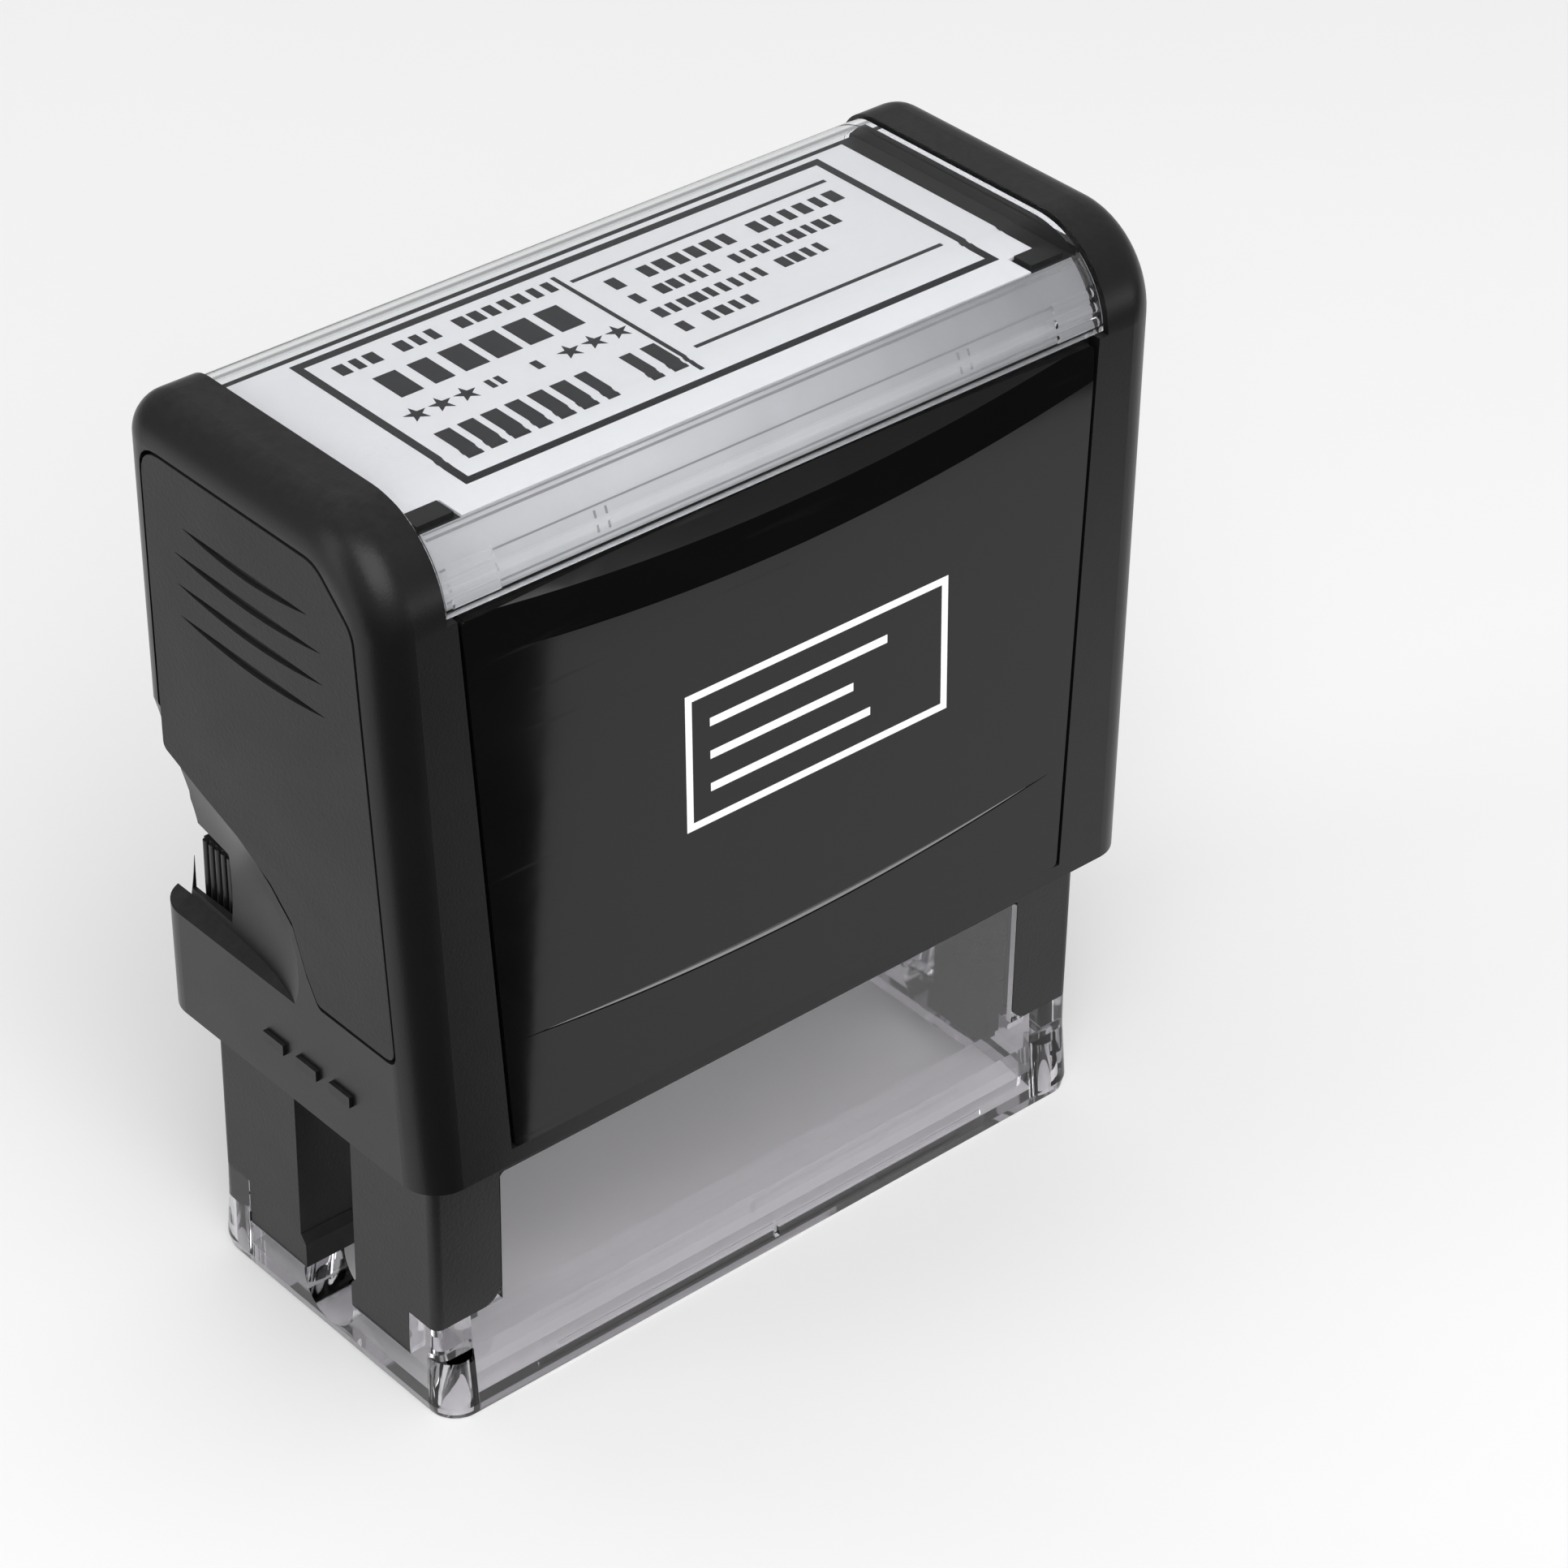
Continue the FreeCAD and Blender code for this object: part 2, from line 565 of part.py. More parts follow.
def save():
    """Writes one STEP file per piece."""
    os.makedirs("parts", exist_ok=True)
    for name in sorted(PARTS):
        shape = PARTS[name]
        shape.exportStep("parts/" + name + ".step")
        size = shape.BoundBox
        print(name, shape.isValid(), len(shape.Solids), round(shape.Volume, 1),
              round(size.XMin, 2), round(size.XMax, 2), round(size.YMin, 2),
              round(size.YMax, 2), round(size.ZMin, 2), round(size.ZMax, 2))


build()
save()
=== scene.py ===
"""Looks of a self-inking stamp, built as an add-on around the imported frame."""

import math

import bmesh
import bpy
from bpy.props import (
    FloatProperty,
    FloatVectorProperty,
    PointerProperty,
)
from mathutils import Matrix, Vector


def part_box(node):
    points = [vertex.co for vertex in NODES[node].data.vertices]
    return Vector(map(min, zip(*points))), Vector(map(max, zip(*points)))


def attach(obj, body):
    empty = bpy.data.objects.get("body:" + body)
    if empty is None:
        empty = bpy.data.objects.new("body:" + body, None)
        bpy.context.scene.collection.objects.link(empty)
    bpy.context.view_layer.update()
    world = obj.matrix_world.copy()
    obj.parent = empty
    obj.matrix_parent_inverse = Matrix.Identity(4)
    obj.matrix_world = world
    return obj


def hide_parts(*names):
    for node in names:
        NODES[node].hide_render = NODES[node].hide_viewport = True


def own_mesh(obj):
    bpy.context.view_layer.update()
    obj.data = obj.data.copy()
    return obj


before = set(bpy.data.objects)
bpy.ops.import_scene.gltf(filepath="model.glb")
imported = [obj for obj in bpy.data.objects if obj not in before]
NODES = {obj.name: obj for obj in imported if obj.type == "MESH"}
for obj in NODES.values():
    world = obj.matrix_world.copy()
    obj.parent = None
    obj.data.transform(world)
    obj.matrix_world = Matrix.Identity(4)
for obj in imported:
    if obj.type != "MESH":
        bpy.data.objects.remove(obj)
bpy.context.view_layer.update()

bl_info = {
    "name": "Self-inking stamp",
    "version": (1, 0, 0),
    "blender": (4, 5, 0),
    "location": "3D View > Sidebar > Stamp",
    "description": "Builds the looks of a self-inking stamp: finishes, printed card, springs, pad",
    "category": "Add Mesh",
}

MM = 0.001

# The long faces lean in by this much for each unit of height.
FACE_LEAN = 0.0337
# Centre of the window's wide front shoulder, and the radii of the gap behind it.
SHOULDER_Y = -9.156 * MM
SHOULDER_Z = 91.55 * MM
SHOULDER_GAP = (8.64 * MM, 8.80 * MM)
# The light grey band behind it, painted refraction of the clear shoulder: where it starts and
# ends round the shoulder, in degrees, how many flats it has, and how far it stays inside the window's
# ends.
BAND_ARC = (7.0, 53.0)
BAND_STEPS = 16
BAND_END_GAP = 0.6 * MM
# Darker lines along the band, painted refraction, as start and width in degrees, and the ribs across it.
BAND_LINES = ((29.0, 1.1), (47.5, 1.6), (51.5, 0.8), (10.5, 1.2))
BAND_LINE_END_GAP = 0.8 * MM
BAND_LINE_DEPTH = (-0.02 * MM, 0.05 * MM)
RIB_ARC = (14.0, 27.0)
RIB_PLACES = (-22.0 * MM, 22.0 * MM)
RIB_SPACING = 1.3 * MM
RIB_WIDTH = 0.25 * MM

# The ink cushion: its grid, the gap round it and how far its edge curls up.
CUSHION_COLUMNS = 48
CUSHION_ROWS = 22
CUSHION_GAP = 0.2 * MM
CUSHION_CURL = 0.9 * MM

# Centres of the imprint on the card and of the label on the front plate.
CARD_CENTRE = (1.4 * MM, 2.6 * MM)
LABEL_CENTRE = (3.0 * MM, 66.0 * MM)
LABEL_FRAME_LINE = 0.8 * MM
LABEL_BAR_HALF = 0.45 * MM
LABEL_MARGIN = 0.82
# Right ends of the label's bars, as shares of its width inside the margin, and their spacing.
LABEL_BARS = (0.82, 0.66, 0.74)
LABEL_BAR_STEP = 0.48

# The slim grey line in the front groove, a painted highlight of the groove's face: half length,
# thickness, height of its ends, sag in the middle, how far it lies below the groove's middle, and its
# front and back in the groove.
GROOVE_HIGHLIGHT_HALF = 32.6 * MM
GROOVE_HIGHLIGHT_THICK = 0.32 * MM
GROOVE_HIGHLIGHT_HEIGHT = 44.6 * MM
GROOVE_HIGHLIGHT_SAG = 1.9 * MM
GROOVE_HIGHLIGHT_DROP = 0.12 * MM
GROOVE_HIGHLIGHT_TIP = 0.015 * MM
GROOVE_HIGHLIGHT_DEPTH = (0.05 * MM, 0.44 * MM)
GROOVE_HIGHLIGHT_STEPS = 40

# The die's raised marks are this much smaller than the card's imprint.
DIE_SCALE = 0.96

# Colours of dust with painted top light, on satin plastic and on gloss.
SATIN_SPECKS_AND_TOP_LIGHT = (0.55, 0.54, 0.52)
GLOSS_SPECKS_AND_TOP_LIGHT = (0.5, 0.5, 0.5)

FLOOR_HALF = 3.0
FLOOR_DROP = 0.0002
# Outline of the dark card on the floor in front, and its underside and top, in metres.
DARK_OUTLINE = ((-1.2, -1.4), (1.6, -1.4), (1.6, -0.137), (0.060, -0.137), (-0.030, -0.030),
                (-1.2, -0.030))
DARK_HEIGHTS = (0.002, 0.004)
# Lights: name, setting with the power, place, point aimed at, width and height, in metres.
LIGHTS = (
    ("softbox", "key_power", (-0.45, -0.85, 1.05), (0.0, 0.0, 0.04), (1.2, 1.2)),
    ("strip", "side_power", (-0.85, 0.25, 0.40), (0.0, 0.0, 0.06), (0.3, 0.8)),
    ("low_strip", "low_power", (0.66, -0.96, 0.10), (0.0, 0.0, 0.08), (0.5, 0.22)),
)
# Camera: azimuth, elevation and roll in degrees; the point it turns about; how far that point
# lies right of, below and ahead of the lens.
CAMERA_TURN = (-41.93, 34.78, -1.16)
CAMERA_PIVOT = (0.0, 0.0, 45.0 * MM)
CAMERA_OFFSET = (-12.62 * MM, 1.83 * MM, 482.79 * MM)
CAMERA_LENS = 111.80
CAMERA_SENSOR = 36.0
CAMERA_CLIP = (0.02, 20.0)


# ---- sizes and colours a user would change ----------------------------------

def length_property(name, description, millimetres):
    """A length in metres with its default given in millimetres."""
    return FloatProperty(name=name, description=description, default=millimetres * MM,
                         unit="LENGTH", precision=5)


def colour_property(name, description, default):
    """A linear colour without alpha."""
    return FloatVectorProperty(name=name, description=description, default=default,
                               subtype="COLOR", size=3, min=0.0, max=1.0)


class StampSizes(bpy.types.PropertyGroup):
    """Sizes of the pieces that are added to the frame."""

    imprint_length: length_property("Imprint length", "Long side of the imprint's border", 64.5)
    imprint_width: length_property("Imprint width", "Short side of the imprint's border", 26.0)
    border_line: length_property("Border line", "Width of the imprint's border line", 0.95)
    rule_line: length_property("Rule line", "Width of the thin rules inside the border", 0.50)
    ink_film: length_property("Ink film", "How far printed marks stand proud", 0.03)
    relief: length_property("Relief", "How far the die's raised marks stand proud", 0.35)
    wire: length_property("Wire", "Diameter of the spring wire", 0.9)
    coil_radius: length_property("Coil radius", "Radius of a spring to the wire's centre", 5.4)
    label_length: length_property("Label length", "Width of the plain label printed in front", 33.0)
    label_height: length_property("Label height", "Height of the plain label printed in front", 15.0)
    coil_turns: FloatProperty(name="Coil turns", description="Turns of wire in a spring",
                              default=6.5, min=2.0, max=20.0)


class StampColours(bpy.types.PropertyGroup):
    """Linear base colours of the finishes."""

    shell: colour_property("Shell", "Cap shell", (0.0055, 0.0055, 0.0060))
    end_plate: colour_property("End plate", "Matte plates in the ends", (0.0085, 0.0085, 0.0090))
    gloss: colour_property("Gloss plate", "High-gloss plates on the long faces", (0.003, 0.003, 0.003))
    legs: colour_property("Legs", "Frame, yoke and carrier", (0.010, 0.010, 0.0105))
    case: colour_property("Case", "Ink cartridge", (0.006, 0.006, 0.0065))
    foot: colour_property("Foot", "Tint of the clear foot", (0.72, 0.705, 0.735))
    window: colour_property("Window", "Tint of the index window", (0.93, 0.94, 0.95))
    # Colour of the painted refraction band behind the window's shoulder.
    band_refraction: colour_property("Frost", "Frosted band behind the window's shoulder", (0.40, 0.40, 0.415))
    # Colour of the painted highlight in the front groove.
    painted_groove_highlight: colour_property("Trim", "Slim line in the front groove", (0.20, 0.20, 0.205))
    paper: colour_property("Paper", "Card under the window", (0.84, 0.84, 0.86))
    ink: colour_property("Ink", "Printed ink on the card", (0.012, 0.012, 0.014))
    print_white: colour_property("White print", "White print on the front", (0.86, 0.86, 0.86))
    rubber: colour_property("Rubber", "Text plate", (0.30, 0.055, 0.035))
    foam: colour_property("Foam tape", "Tape under the text plate", (0.55, 0.53, 0.48))
    cloth: colour_property("Pad cloth", "Inked cloth of the pad", (0.012, 0.012, 0.022))
    steel: colour_property("Steel", "Spring wire", (0.52, 0.52, 0.53))


class StampStage(bpy.types.PropertyGroup):
    """Floor, lights and world."""

    floor: colour_property("Floor", "Plain pale floor", (0.90, 0.90, 0.90))
    world: FloatProperty(name="World", description="Strength of the even white surround",
                         default=0.66, min=0.0, max=4.0)
    mirrored: FloatProperty(name="Mirrored world", description="Strength of the surround in gloss",
                            default=0.38, min=0.0, max=4.0)
    key_power: FloatProperty(name="Key", description="Power of the large softbox in front",
                             default=14.0, min=0.0, max=100.0, subtype="POWER")
    side_power: FloatProperty(name="Side", description="Power of the long strip at the left",
                              default=1.6, min=0.0, max=100.0, subtype="POWER")
    low_power: FloatProperty(name="Low strip", description="Power of the low strip at the right",
                             default=0.8, min=0.0, max=100.0, subtype="POWER")


# ---- small helpers for node trees --------------------------------------------

def add_node(tree, kind, **settings):
    """A new node; settings are attributes, or default values of its inputs."""
    node = tree.nodes.new(kind)
    for key, value in settings.items():
        if hasattr(node, key):
            setattr(node, key, value)
        else:
            node.inputs[key.replace("_", " ")].default_value = value
    return node


def link(tree, source, target):
    """Joins an output socket to an input socket."""
    tree.links.new(source, target)


def texture(tree, kind, vector=None, **settings):
    """A texture node laid out in object space, or by a vector of its own."""
    node = add_node(tree, kind, **settings)
    if vector is None:
        vector = add_node(tree, "ShaderNodeTexCoord").outputs["Object"]
    link(tree, vector, node.inputs["Vector"])
    return node


def math_node(tree, operation, first, second):
    """A Math node; each operand is a socket or a number."""
    node = tree.nodes.new("ShaderNodeMath")
    node.operation = operation
    for socket, value in zip(node.inputs, (first, second)):
        if isinstance(value, bpy.types.NodeSocket):
            link(tree, value, socket)
        else:
            socket.default_value = value
    return node.outputs[0]


def spread(tree, source, low, high):
    """Maps a value from 0..1 to low..high."""
    node = add_node(tree, "ShaderNodeMapRange")
    link(tree, source, node.inputs["Value"])
    node.inputs["To Min"].default_value = low
    node.inputs["To Max"].default_value = high
    return node.outputs["Result"]


def blend_colours(tree, mask, first, second):
    """A colour between two, by a mask; each colour is a socket or three numbers."""
    node = tree.nodes.new("ShaderNodeMix")
    node.data_type = "RGBA"
    link(tree, mask, node.inputs["Factor"])
    for socket, value in ((node.inputs[6], first), (node.inputs[7], second)):
        if isinstance(value, bpy.types.NodeSocket):
            link(tree, value, socket)
        else:
            socket.default_value = (*value, 1.0)
    return node.outputs[2]


def brighter(colour, gain):
    """A colour scaled by a gain and kept in range."""
    return tuple(min(1.0, c * gain) for c in colour)


def new_group(name, inputs, outputs):
    """An empty shader node group with named float sockets, and its two end nodes."""
    tree = bpy.data.node_groups.new(name, "ShaderNodeTree")
    for label, default in inputs:
        socket = tree.interface.new_socket(name=label, in_out="INPUT", socket_type="NodeSocketFloat")
        socket.default_value = default
    for label in outputs:
        tree.interface.new_socket(name=label, in_out="OUTPUT", socket_type="NodeSocketFloat")
    return tree, tree.nodes.new("NodeGroupInput"), tree.nodes.new("NodeGroupOutput")


def use_group(tree, name, **values):
    """Places a shader node group in a material with its own values."""
    node = tree.nodes.new("ShaderNodeGroup")
    node.node_tree = bpy.data.node_groups[name]
    for key, value in values.items():
        node.inputs[key.replace("_", " ")].default_value = value
    return node


# ---- shared effects ------------------------------------------------------------

def build_grain_group():
    """Fine spark-eroded grain of moulded plastic, with a slow mottle."""
    tree, source, sink = new_group("fine_grain", [("Grains", 5200.0), ("Mottle Size", 70.0)],
                                   ["Height", "Mottle"])
    pits = texture(tree, "ShaderNodeTexVoronoi", feature="SMOOTH_F1")
    fuzz = texture(tree, "ShaderNodeTexNoise", Detail=3.0)
    for node in (pits, fuzz):
        link(tree, source.outputs["Grains"], node.inputs["Scale"])
    height = math_node(tree, "MULTIPLY", pits.outputs["Distance"], fuzz.outputs["Fac"])
    link(tree, height, sink.inputs["Height"])
    slow = texture(tree, "ShaderNodeTexNoise", Detail=4.0, Roughness=0.6)
    link(tree, source.outputs["Mottle Size"], slow.inputs["Scale"])
    link(tree, slow.outputs["Fac"], sink.inputs["Mottle"])


def build_handling_group():
    """Faint finger smears and hairline scuffs as one mask."""
    tree, source, sink = new_group("handling", [("Smear Size", 38.0), ("Scuffs", 0.35)], ["Mask"])
    smear = texture(tree, "ShaderNodeTexNoise", Detail=5.0, Roughness=0.55, Distortion=1.4)
    link(tree, source.outputs["Smear Size"], smear.inputs["Scale"])
    turn = texture(tree, "ShaderNodeMapping")
    turn.inputs["Rotation"].default_value = (0.2, 0.7, 0.4)
    turn.inputs["Scale"].default_value = (60.0, 2200.0, 900.0)
    hair = texture(tree, "ShaderNodeTexNoise", turn.outputs["Vector"], Scale=1.0, Detail=2.0)
    fine = add_node(tree, "ShaderNodeMapRange")
    fine.inputs["From Min"].default_value = 0.66
    fine.inputs["From Max"].default_value = 0.74
    link(tree, hair.outputs["Fac"], fine.inputs["Value"])
    scuffs = math_node(tree, "MULTIPLY", fine.outputs["Result"], source.outputs["Scuffs"])
    link(tree, math_node(tree, "ADD", smear.outputs["Fac"], scuffs), sink.inputs["Mask"])


def build_speck_and_top_light_group():
    """A mask of thin dust and painted top light on whatever faces up."""
    tree, source, sink = new_group("settled_dust", [("Amount", 0.1)], ["Mask"])
    geometry = add_node(tree, "ShaderNodeNewGeometry")
    split = add_node(tree, "ShaderNodeSeparateXYZ")
    link(tree, geometry.outputs["Normal"], split.inputs["Vector"])
    up = math_node(tree, "MAXIMUM", split.outputs["Z"], 0.0)
    up = math_node(tree, "POWER", up, 3.0)
    specks = texture(tree, "ShaderNodeTexNoise", Scale=900.0, Detail=6.0, Roughness=0.7)
    laid = math_node(tree, "MULTIPLY", up, specks.outputs["Fac"])
    link(tree, math_node(tree, "MULTIPLY", laid, source.outputs["Amount"]), sink.inputs["Mask"])


# ---- finishes ---------------------------------------------------------------------

def new_finish(name):
    """A material with a Principled shader; returns the material, its tree and the shader."""
    material = bpy.data.materials.new(name)
    material.use_nodes = True
    tree = material.node_tree
    return material, tree, tree.nodes["Principled BSDF"]


def add_surface(tree, shader, body, rough):
    """Feeds a finish its base colour and its roughness."""
    link(tree, body, shader.inputs["Base Color"])
    link(tree, rough, shader.inputs["Roughness"])


def add_bump(tree, shader, height, strength, distance):
    """Bump from a height value, with its depth in metres."""
    bump = add_node(tree, "ShaderNodeBump", Strength=strength, Distance=distance)
    link(tree, height, bump.inputs["Height"])
    link(tree, bump.outputs["Normal"], shader.inputs["Normal"])


def moulded_plastic(name, colour, rough, grains=5200.0, bump=0.35, sheen=0.5, top_lit_specks=0.04):
    """Black moulded plastic: fine grain, faint smears, and a little dust with painted top light on faces
    that point up.
    """
    material, tree, shader = new_finish(name)
    grain = use_group(tree, "fine_grain", Grains=grains)
    marks = use_group(tree, "handling", Scuffs=0.25)
    top_light_specks_mask = use_group(tree, "settled_dust", Amount=top_lit_specks)
    body = blend_colours(tree, spread(tree, grain.outputs["Mottle"], 0.0, 1.0),
                         brighter(colour, 0.82), brighter(colour, 1.22))
    # Dust and painted top light: warm grey blended in where faces point up.
    body = blend_colours(tree, top_light_specks_mask.outputs["Mask"], body, SATIN_SPECKS_AND_TOP_LIGHT)
    add_surface(tree, shader, body, spread(tree, marks.outputs["Mask"], rough - 0.07, rough + 0.09))
    add_bump(tree, shader, grain.outputs["Height"], bump, 0.00008)
    shader.inputs["IOR"].default_value = 1.5
    shader.inputs["Specular IOR Level"].default_value = sheen
    return material


def gloss_plate(name, colour):
    """Piano-black plate under a clear hard coat, with faint smears and ripple."""
    material, tree, shader = new_finish(name)
    marks = use_group(tree, "handling", Smear_Size=24.0, Scuffs=0.5)
    top_light_specks_mask = use_group(tree, "settled_dust", Amount=0.03)
    body = blend_colours(tree, spread(tree, marks.outputs["Mask"], 0.0, 1.0),
                         brighter(colour, 0.7), brighter(colour, 1.6))
    # Dust and painted top light: grey blended in where faces point up.
    body = blend_colours(tree, top_light_specks_mask.outputs["Mask"], body, GLOSS_SPECKS_AND_TOP_LIGHT)
    add_surface(tree, shader, body, spread(tree, marks.outputs["Mask"], 0.035, 0.11))
    link(tree, spread(tree, marks.outputs["Mask"], 0.06, 0.01), shader.inputs["Coat Weight"])
    grain = use_group(tree, "fine_grain", Grains=160.0, Mottle_Size=30.0)
    add_bump(tree, shader, grain.outputs["Mottle"], 0.05, 0.0005)
    shader.inputs["Coat Roughness"].default_value = 0.03
    shader.inputs["IOR"].default_value = 1.36
    return material


def clear_plastic(name, tint, rough, shade, bend):
    """Clear moulded plastic; shade is how much of a shadow ray it holds back, bend its index."""
    material, tree, shader = new_finish(name)
    grain = use_group(tree, "fine_grain", Grains=420.0, Mottle_Size=26.0)
    marks = use_group(tree, "handling", Smear_Size=30.0, Scuffs=0.6)
    body = blend_colours(tree, grain.outputs["Mottle"], brighter(tint, 0.97), brighter(tint, 1.03))
    add_surface(tree, shader, body, spread(tree, marks.outputs["Mask"], rough, rough + 0.035))
    add_bump(tree, shader, grain.outputs["Mottle"], 0.02, 0.0002)
    path = add_node(tree, "ShaderNodeLightPath")
    open_share = math_node(tree, "MULTIPLY", path.outputs["Is Shadow Ray"], 1.0 - shade)
    link(tree, math_node(tree, "SUBTRACT", 1.0, open_share), shader.inputs["Alpha"])
    shader.inputs["Transmission Weight"].default_value = 1.0
    shader.inputs["IOR"].default_value = bend
    return material


def paper_finish(name, colour):
    """Smooth white card with faint fibres."""
    material, tree, shader = new_finish(name)
    stretch = texture(tree, "ShaderNodeMapping")
    stretch.inputs["Scale"].default_value = (900.0, 2600.0, 900.0)
    fibres = texture(tree, "ShaderNodeTexNoise", stretch.outputs["Vector"], Scale=1.0, Detail=5.0,
                     Distortion=0.8)
    body = blend_colours(tree, fibres.outputs["Fac"], brighter(colour, 0.95), brighter(colour, 1.03))
    add_surface(tree, shader, body, spread(tree, fibres.outputs["Fac"], 0.55, 0.75))
    add_bump(tree, shader, fibres.outputs["Fac"], 0.15, 0.00005)
    return material


def print_finish(name, colour, rough):
    """A printed film of ink with slight unevenness."""
    material, tree, shader = new_finish(name)
    grain = use_group(tree, "fine_grain", Grains=2600.0, Mottle_Size=240.0)
    body = blend_colours(tree, grain.outputs["Mottle"], brighter(colour, 0.88), brighter(colour, 1.1))
    add_surface(tree, shader, body, spread(tree, grain.outputs["Mottle"], rough - 0.08, rough + 0.1))
    add_bump(tree, shader, grain.outputs["Height"], 0.12, 0.00003)
    return material


def painted_light_finish(name, colour):
    """Matte grey plastic for painted light: the painted refraction band behind the clear shoulder, its
    painted refraction lines, and the slim grey line of painted highlight in the front groove.
    """
    material, tree, shader = new_finish(name)
    grain = use_group(tree, "fine_grain", Grains=1500.0, Mottle_Size=45.0)
    body = blend_colours(tree, grain.outputs["Mottle"], brighter(colour, 0.8), brighter(colour, 1.25))
    add_surface(tree, shader, body, spread(tree, grain.outputs["Mottle"], 0.38, 0.58))
    add_bump(tree, shader, grain.outputs["Height"], 0.2, 0.00008)
    return material


def rubber_finish(name, colour):
    """Laser-cut rubber with fine burnt lines along its length."""
    material, tree, shader = new_finish(name)
    lines = texture(tree, "ShaderNodeTexWave", bands_direction="Y", Scale=900.0, Distortion=1.2,
                    Detail=2.0)
    grain = use_group(tree, "fine_grain", Grains=3800.0)
    mask = math_node(tree, "MULTIPLY", lines.outputs["Fac"], grain.outputs["Mottle"])
    body = blend_colours(tree, mask, brighter(colour, 0.65), brighter(colour, 1.15))
    add_surface(tree, shader, body, spread(tree, grain.outputs["Mottle"], 0.6, 0.8))
    add_bump(tree, shader, mask, 0.4, 0.00006)
    return material


def foam_finish(name, colour):
    """Closed-cell foam: small round cells."""
    material, tree, shader = new_finish(name)
    cells = texture(tree, "ShaderNodeTexVoronoi", Scale=3200.0)
    body = blend_colours(tree, cells.outputs["Distance"], brighter(colour, 0.7), brighter(colour, 1.1))
    add_surface(tree, shader, body, spread(tree, cells.outputs["Distance"], 0.95, 0.8))
    add_bump(tree, shader, cells.outputs["Distance"], 0.7, 0.00012)
    return material


def cloth_finish(name, colour):
    """Plain weave of the inked pad, wet in patches."""
    material, tree, shader = new_finish(name)
    warp = texture(tree, "ShaderNodeTexWave", bands_direction="X", Scale=620.0)
    weft = texture(tree, "ShaderNodeTexWave", bands_direction="Y", Scale=620.0)
    weave = math_node(tree, "MULTIPLY", warp.outputs["Fac"], weft.outputs["Fac"])
    wet = use_group(tree, "handling", Smear_Size=90.0)
    body = blend_colours(tree, weave, brighter(colour, 0.5), brighter(colour, 2.2))
    add_surface(tree, shader, body, spread(tree, wet.outputs["Mask"], 0.25, 0.85))
    add_bump(tree, shader, weave, 0.8, 0.00012)
    return material


def steel_finish(name, colour):
    """Drawn spring wire with fine lines and light oil."""
    material, tree, shader = new_finish(name)
    grain = use_group(tree, "fine_grain", Grains=2400.0, Mottle_Size=160.0)
    body = blend_colours(tree, grain.outputs["Mottle"], brighter(colour, 0.75), brighter(colour, 1.2))
    add_surface(tree, shader, body, spread(tree, grain.outputs["Mottle"], 0.2, 0.42))
    add_bump(tree, shader, grain.outputs["Height"], 0.25, 0.00004)
    shader.inputs["Metallic"].default_value = 1.0
    return material


def floor_finish(name, colour):
    """Plain pale matte floor with the slightest mottle."""
    material, tree, shader = new_finish(name)
    grain = use_group(tree, "fine_grain", Grains=900.0, Mottle_Size=6.0)
    body = blend_colours(tree, grain.outputs["Mottle"], brighter(colour, 0.992), brighter(colour, 1.008))
    add_surface(tree, shader, body, spread(tree, grain.outputs["Mottle"], 0.55, 0.7))
    return material


def dress(names, material):
    """Puts a material on CAD nodes, in the slots they already have."""
    for name in names:
        node = NODES[name]
        if not node.material_slots:
            node.data.materials.append(material)
        for slot in node.material_slots:
            slot.material = material


# ---- mesh helpers -------------------------------------------------------------------

def add_box(mesh, low, high):
    """Adds a closed box between two corners to a bmesh."""
    corners = [mesh.verts.new((x, y, z)) for z in (low[2], high[2])
               for y in (low[1], high[1]) for x in (low[0], high[0])]
    for face in ((0, 2, 3, 1), (4, 5, 7, 6), (0, 1, 5, 4), (2, 6, 7, 3), (0, 4, 6, 2), (1, 3, 7, 5)):
        mesh.faces.new([corners[i] for i in face])


def add_sweep(mesh, rings):
    """Adds a closed tube through rings of points, each with the same count, with flat ends."""
    made = [[mesh.verts.new(p) for p in ring] for ring in rings]
    count = len(made[0])
    for near, far in zip(made, made[1:]):
        for i in range(count):
            j = (i + 1) % count
            mesh.faces.new((near[i], near[j], far[j], far[i]))
    mesh.faces.new(made[0][::-1])
    mesh.faces.new(made[-1])


def add_cushion(mesh, low, high):
    """Adds a closed cushion with a flat top and an underside that curls up at its edges."""
    width = high.x - low.x - 2 * CUSHION_GAP
    depth = high.y - low.y - 2 * CUSHION_GAP
    columns, rows = CUSHION_COLUMNS, CUSHION_ROWS
    grid = []
    for j in range(rows + 1):
        line = []
        for i in range(columns + 1):
            u, v = i / columns, j / rows
            crown = (16 * u * (1 - u) * v * (1 - v)) ** 0.25
            x = low.x + CUSHION_GAP + width * u
            y = low.y + CUSHION_GAP + depth * v
            line.append((x, y, low.z + CUSHION_CURL * (1 - crown)))
        grid.append(line)
    under = [[mesh.verts.new(p) for p in line] for line in grid]
    over = [[mesh.verts.new((p[0], p[1], high.z)) for p in line] for line in grid]
    for j in range(rows):
        for i in range(columns):
            mesh.faces.new((under[j][i], under[j + 1][i], under[j + 1][i + 1], under[j][i + 1]))
            mesh.faces.new((over[j][i], over[j][i + 1], over[j + 1][i + 1], over[j + 1][i]))
    for i in range(columns):
        mesh.faces.new((under[0][i], under[0][i + 1], over[0][i + 1], over[0][i]))
        mesh.faces.new((under[rows][i + 1], under[rows][i], over[rows][i], over[rows][i + 1]))
    for j in range(rows):
        mesh.faces.new((under[j + 1][0], under[j][0], over[j][0], over[j + 1][0]))
        mesh.faces.new((under[j][columns], under[j + 1][columns],
                        over[j + 1][columns], over[j][columns]))


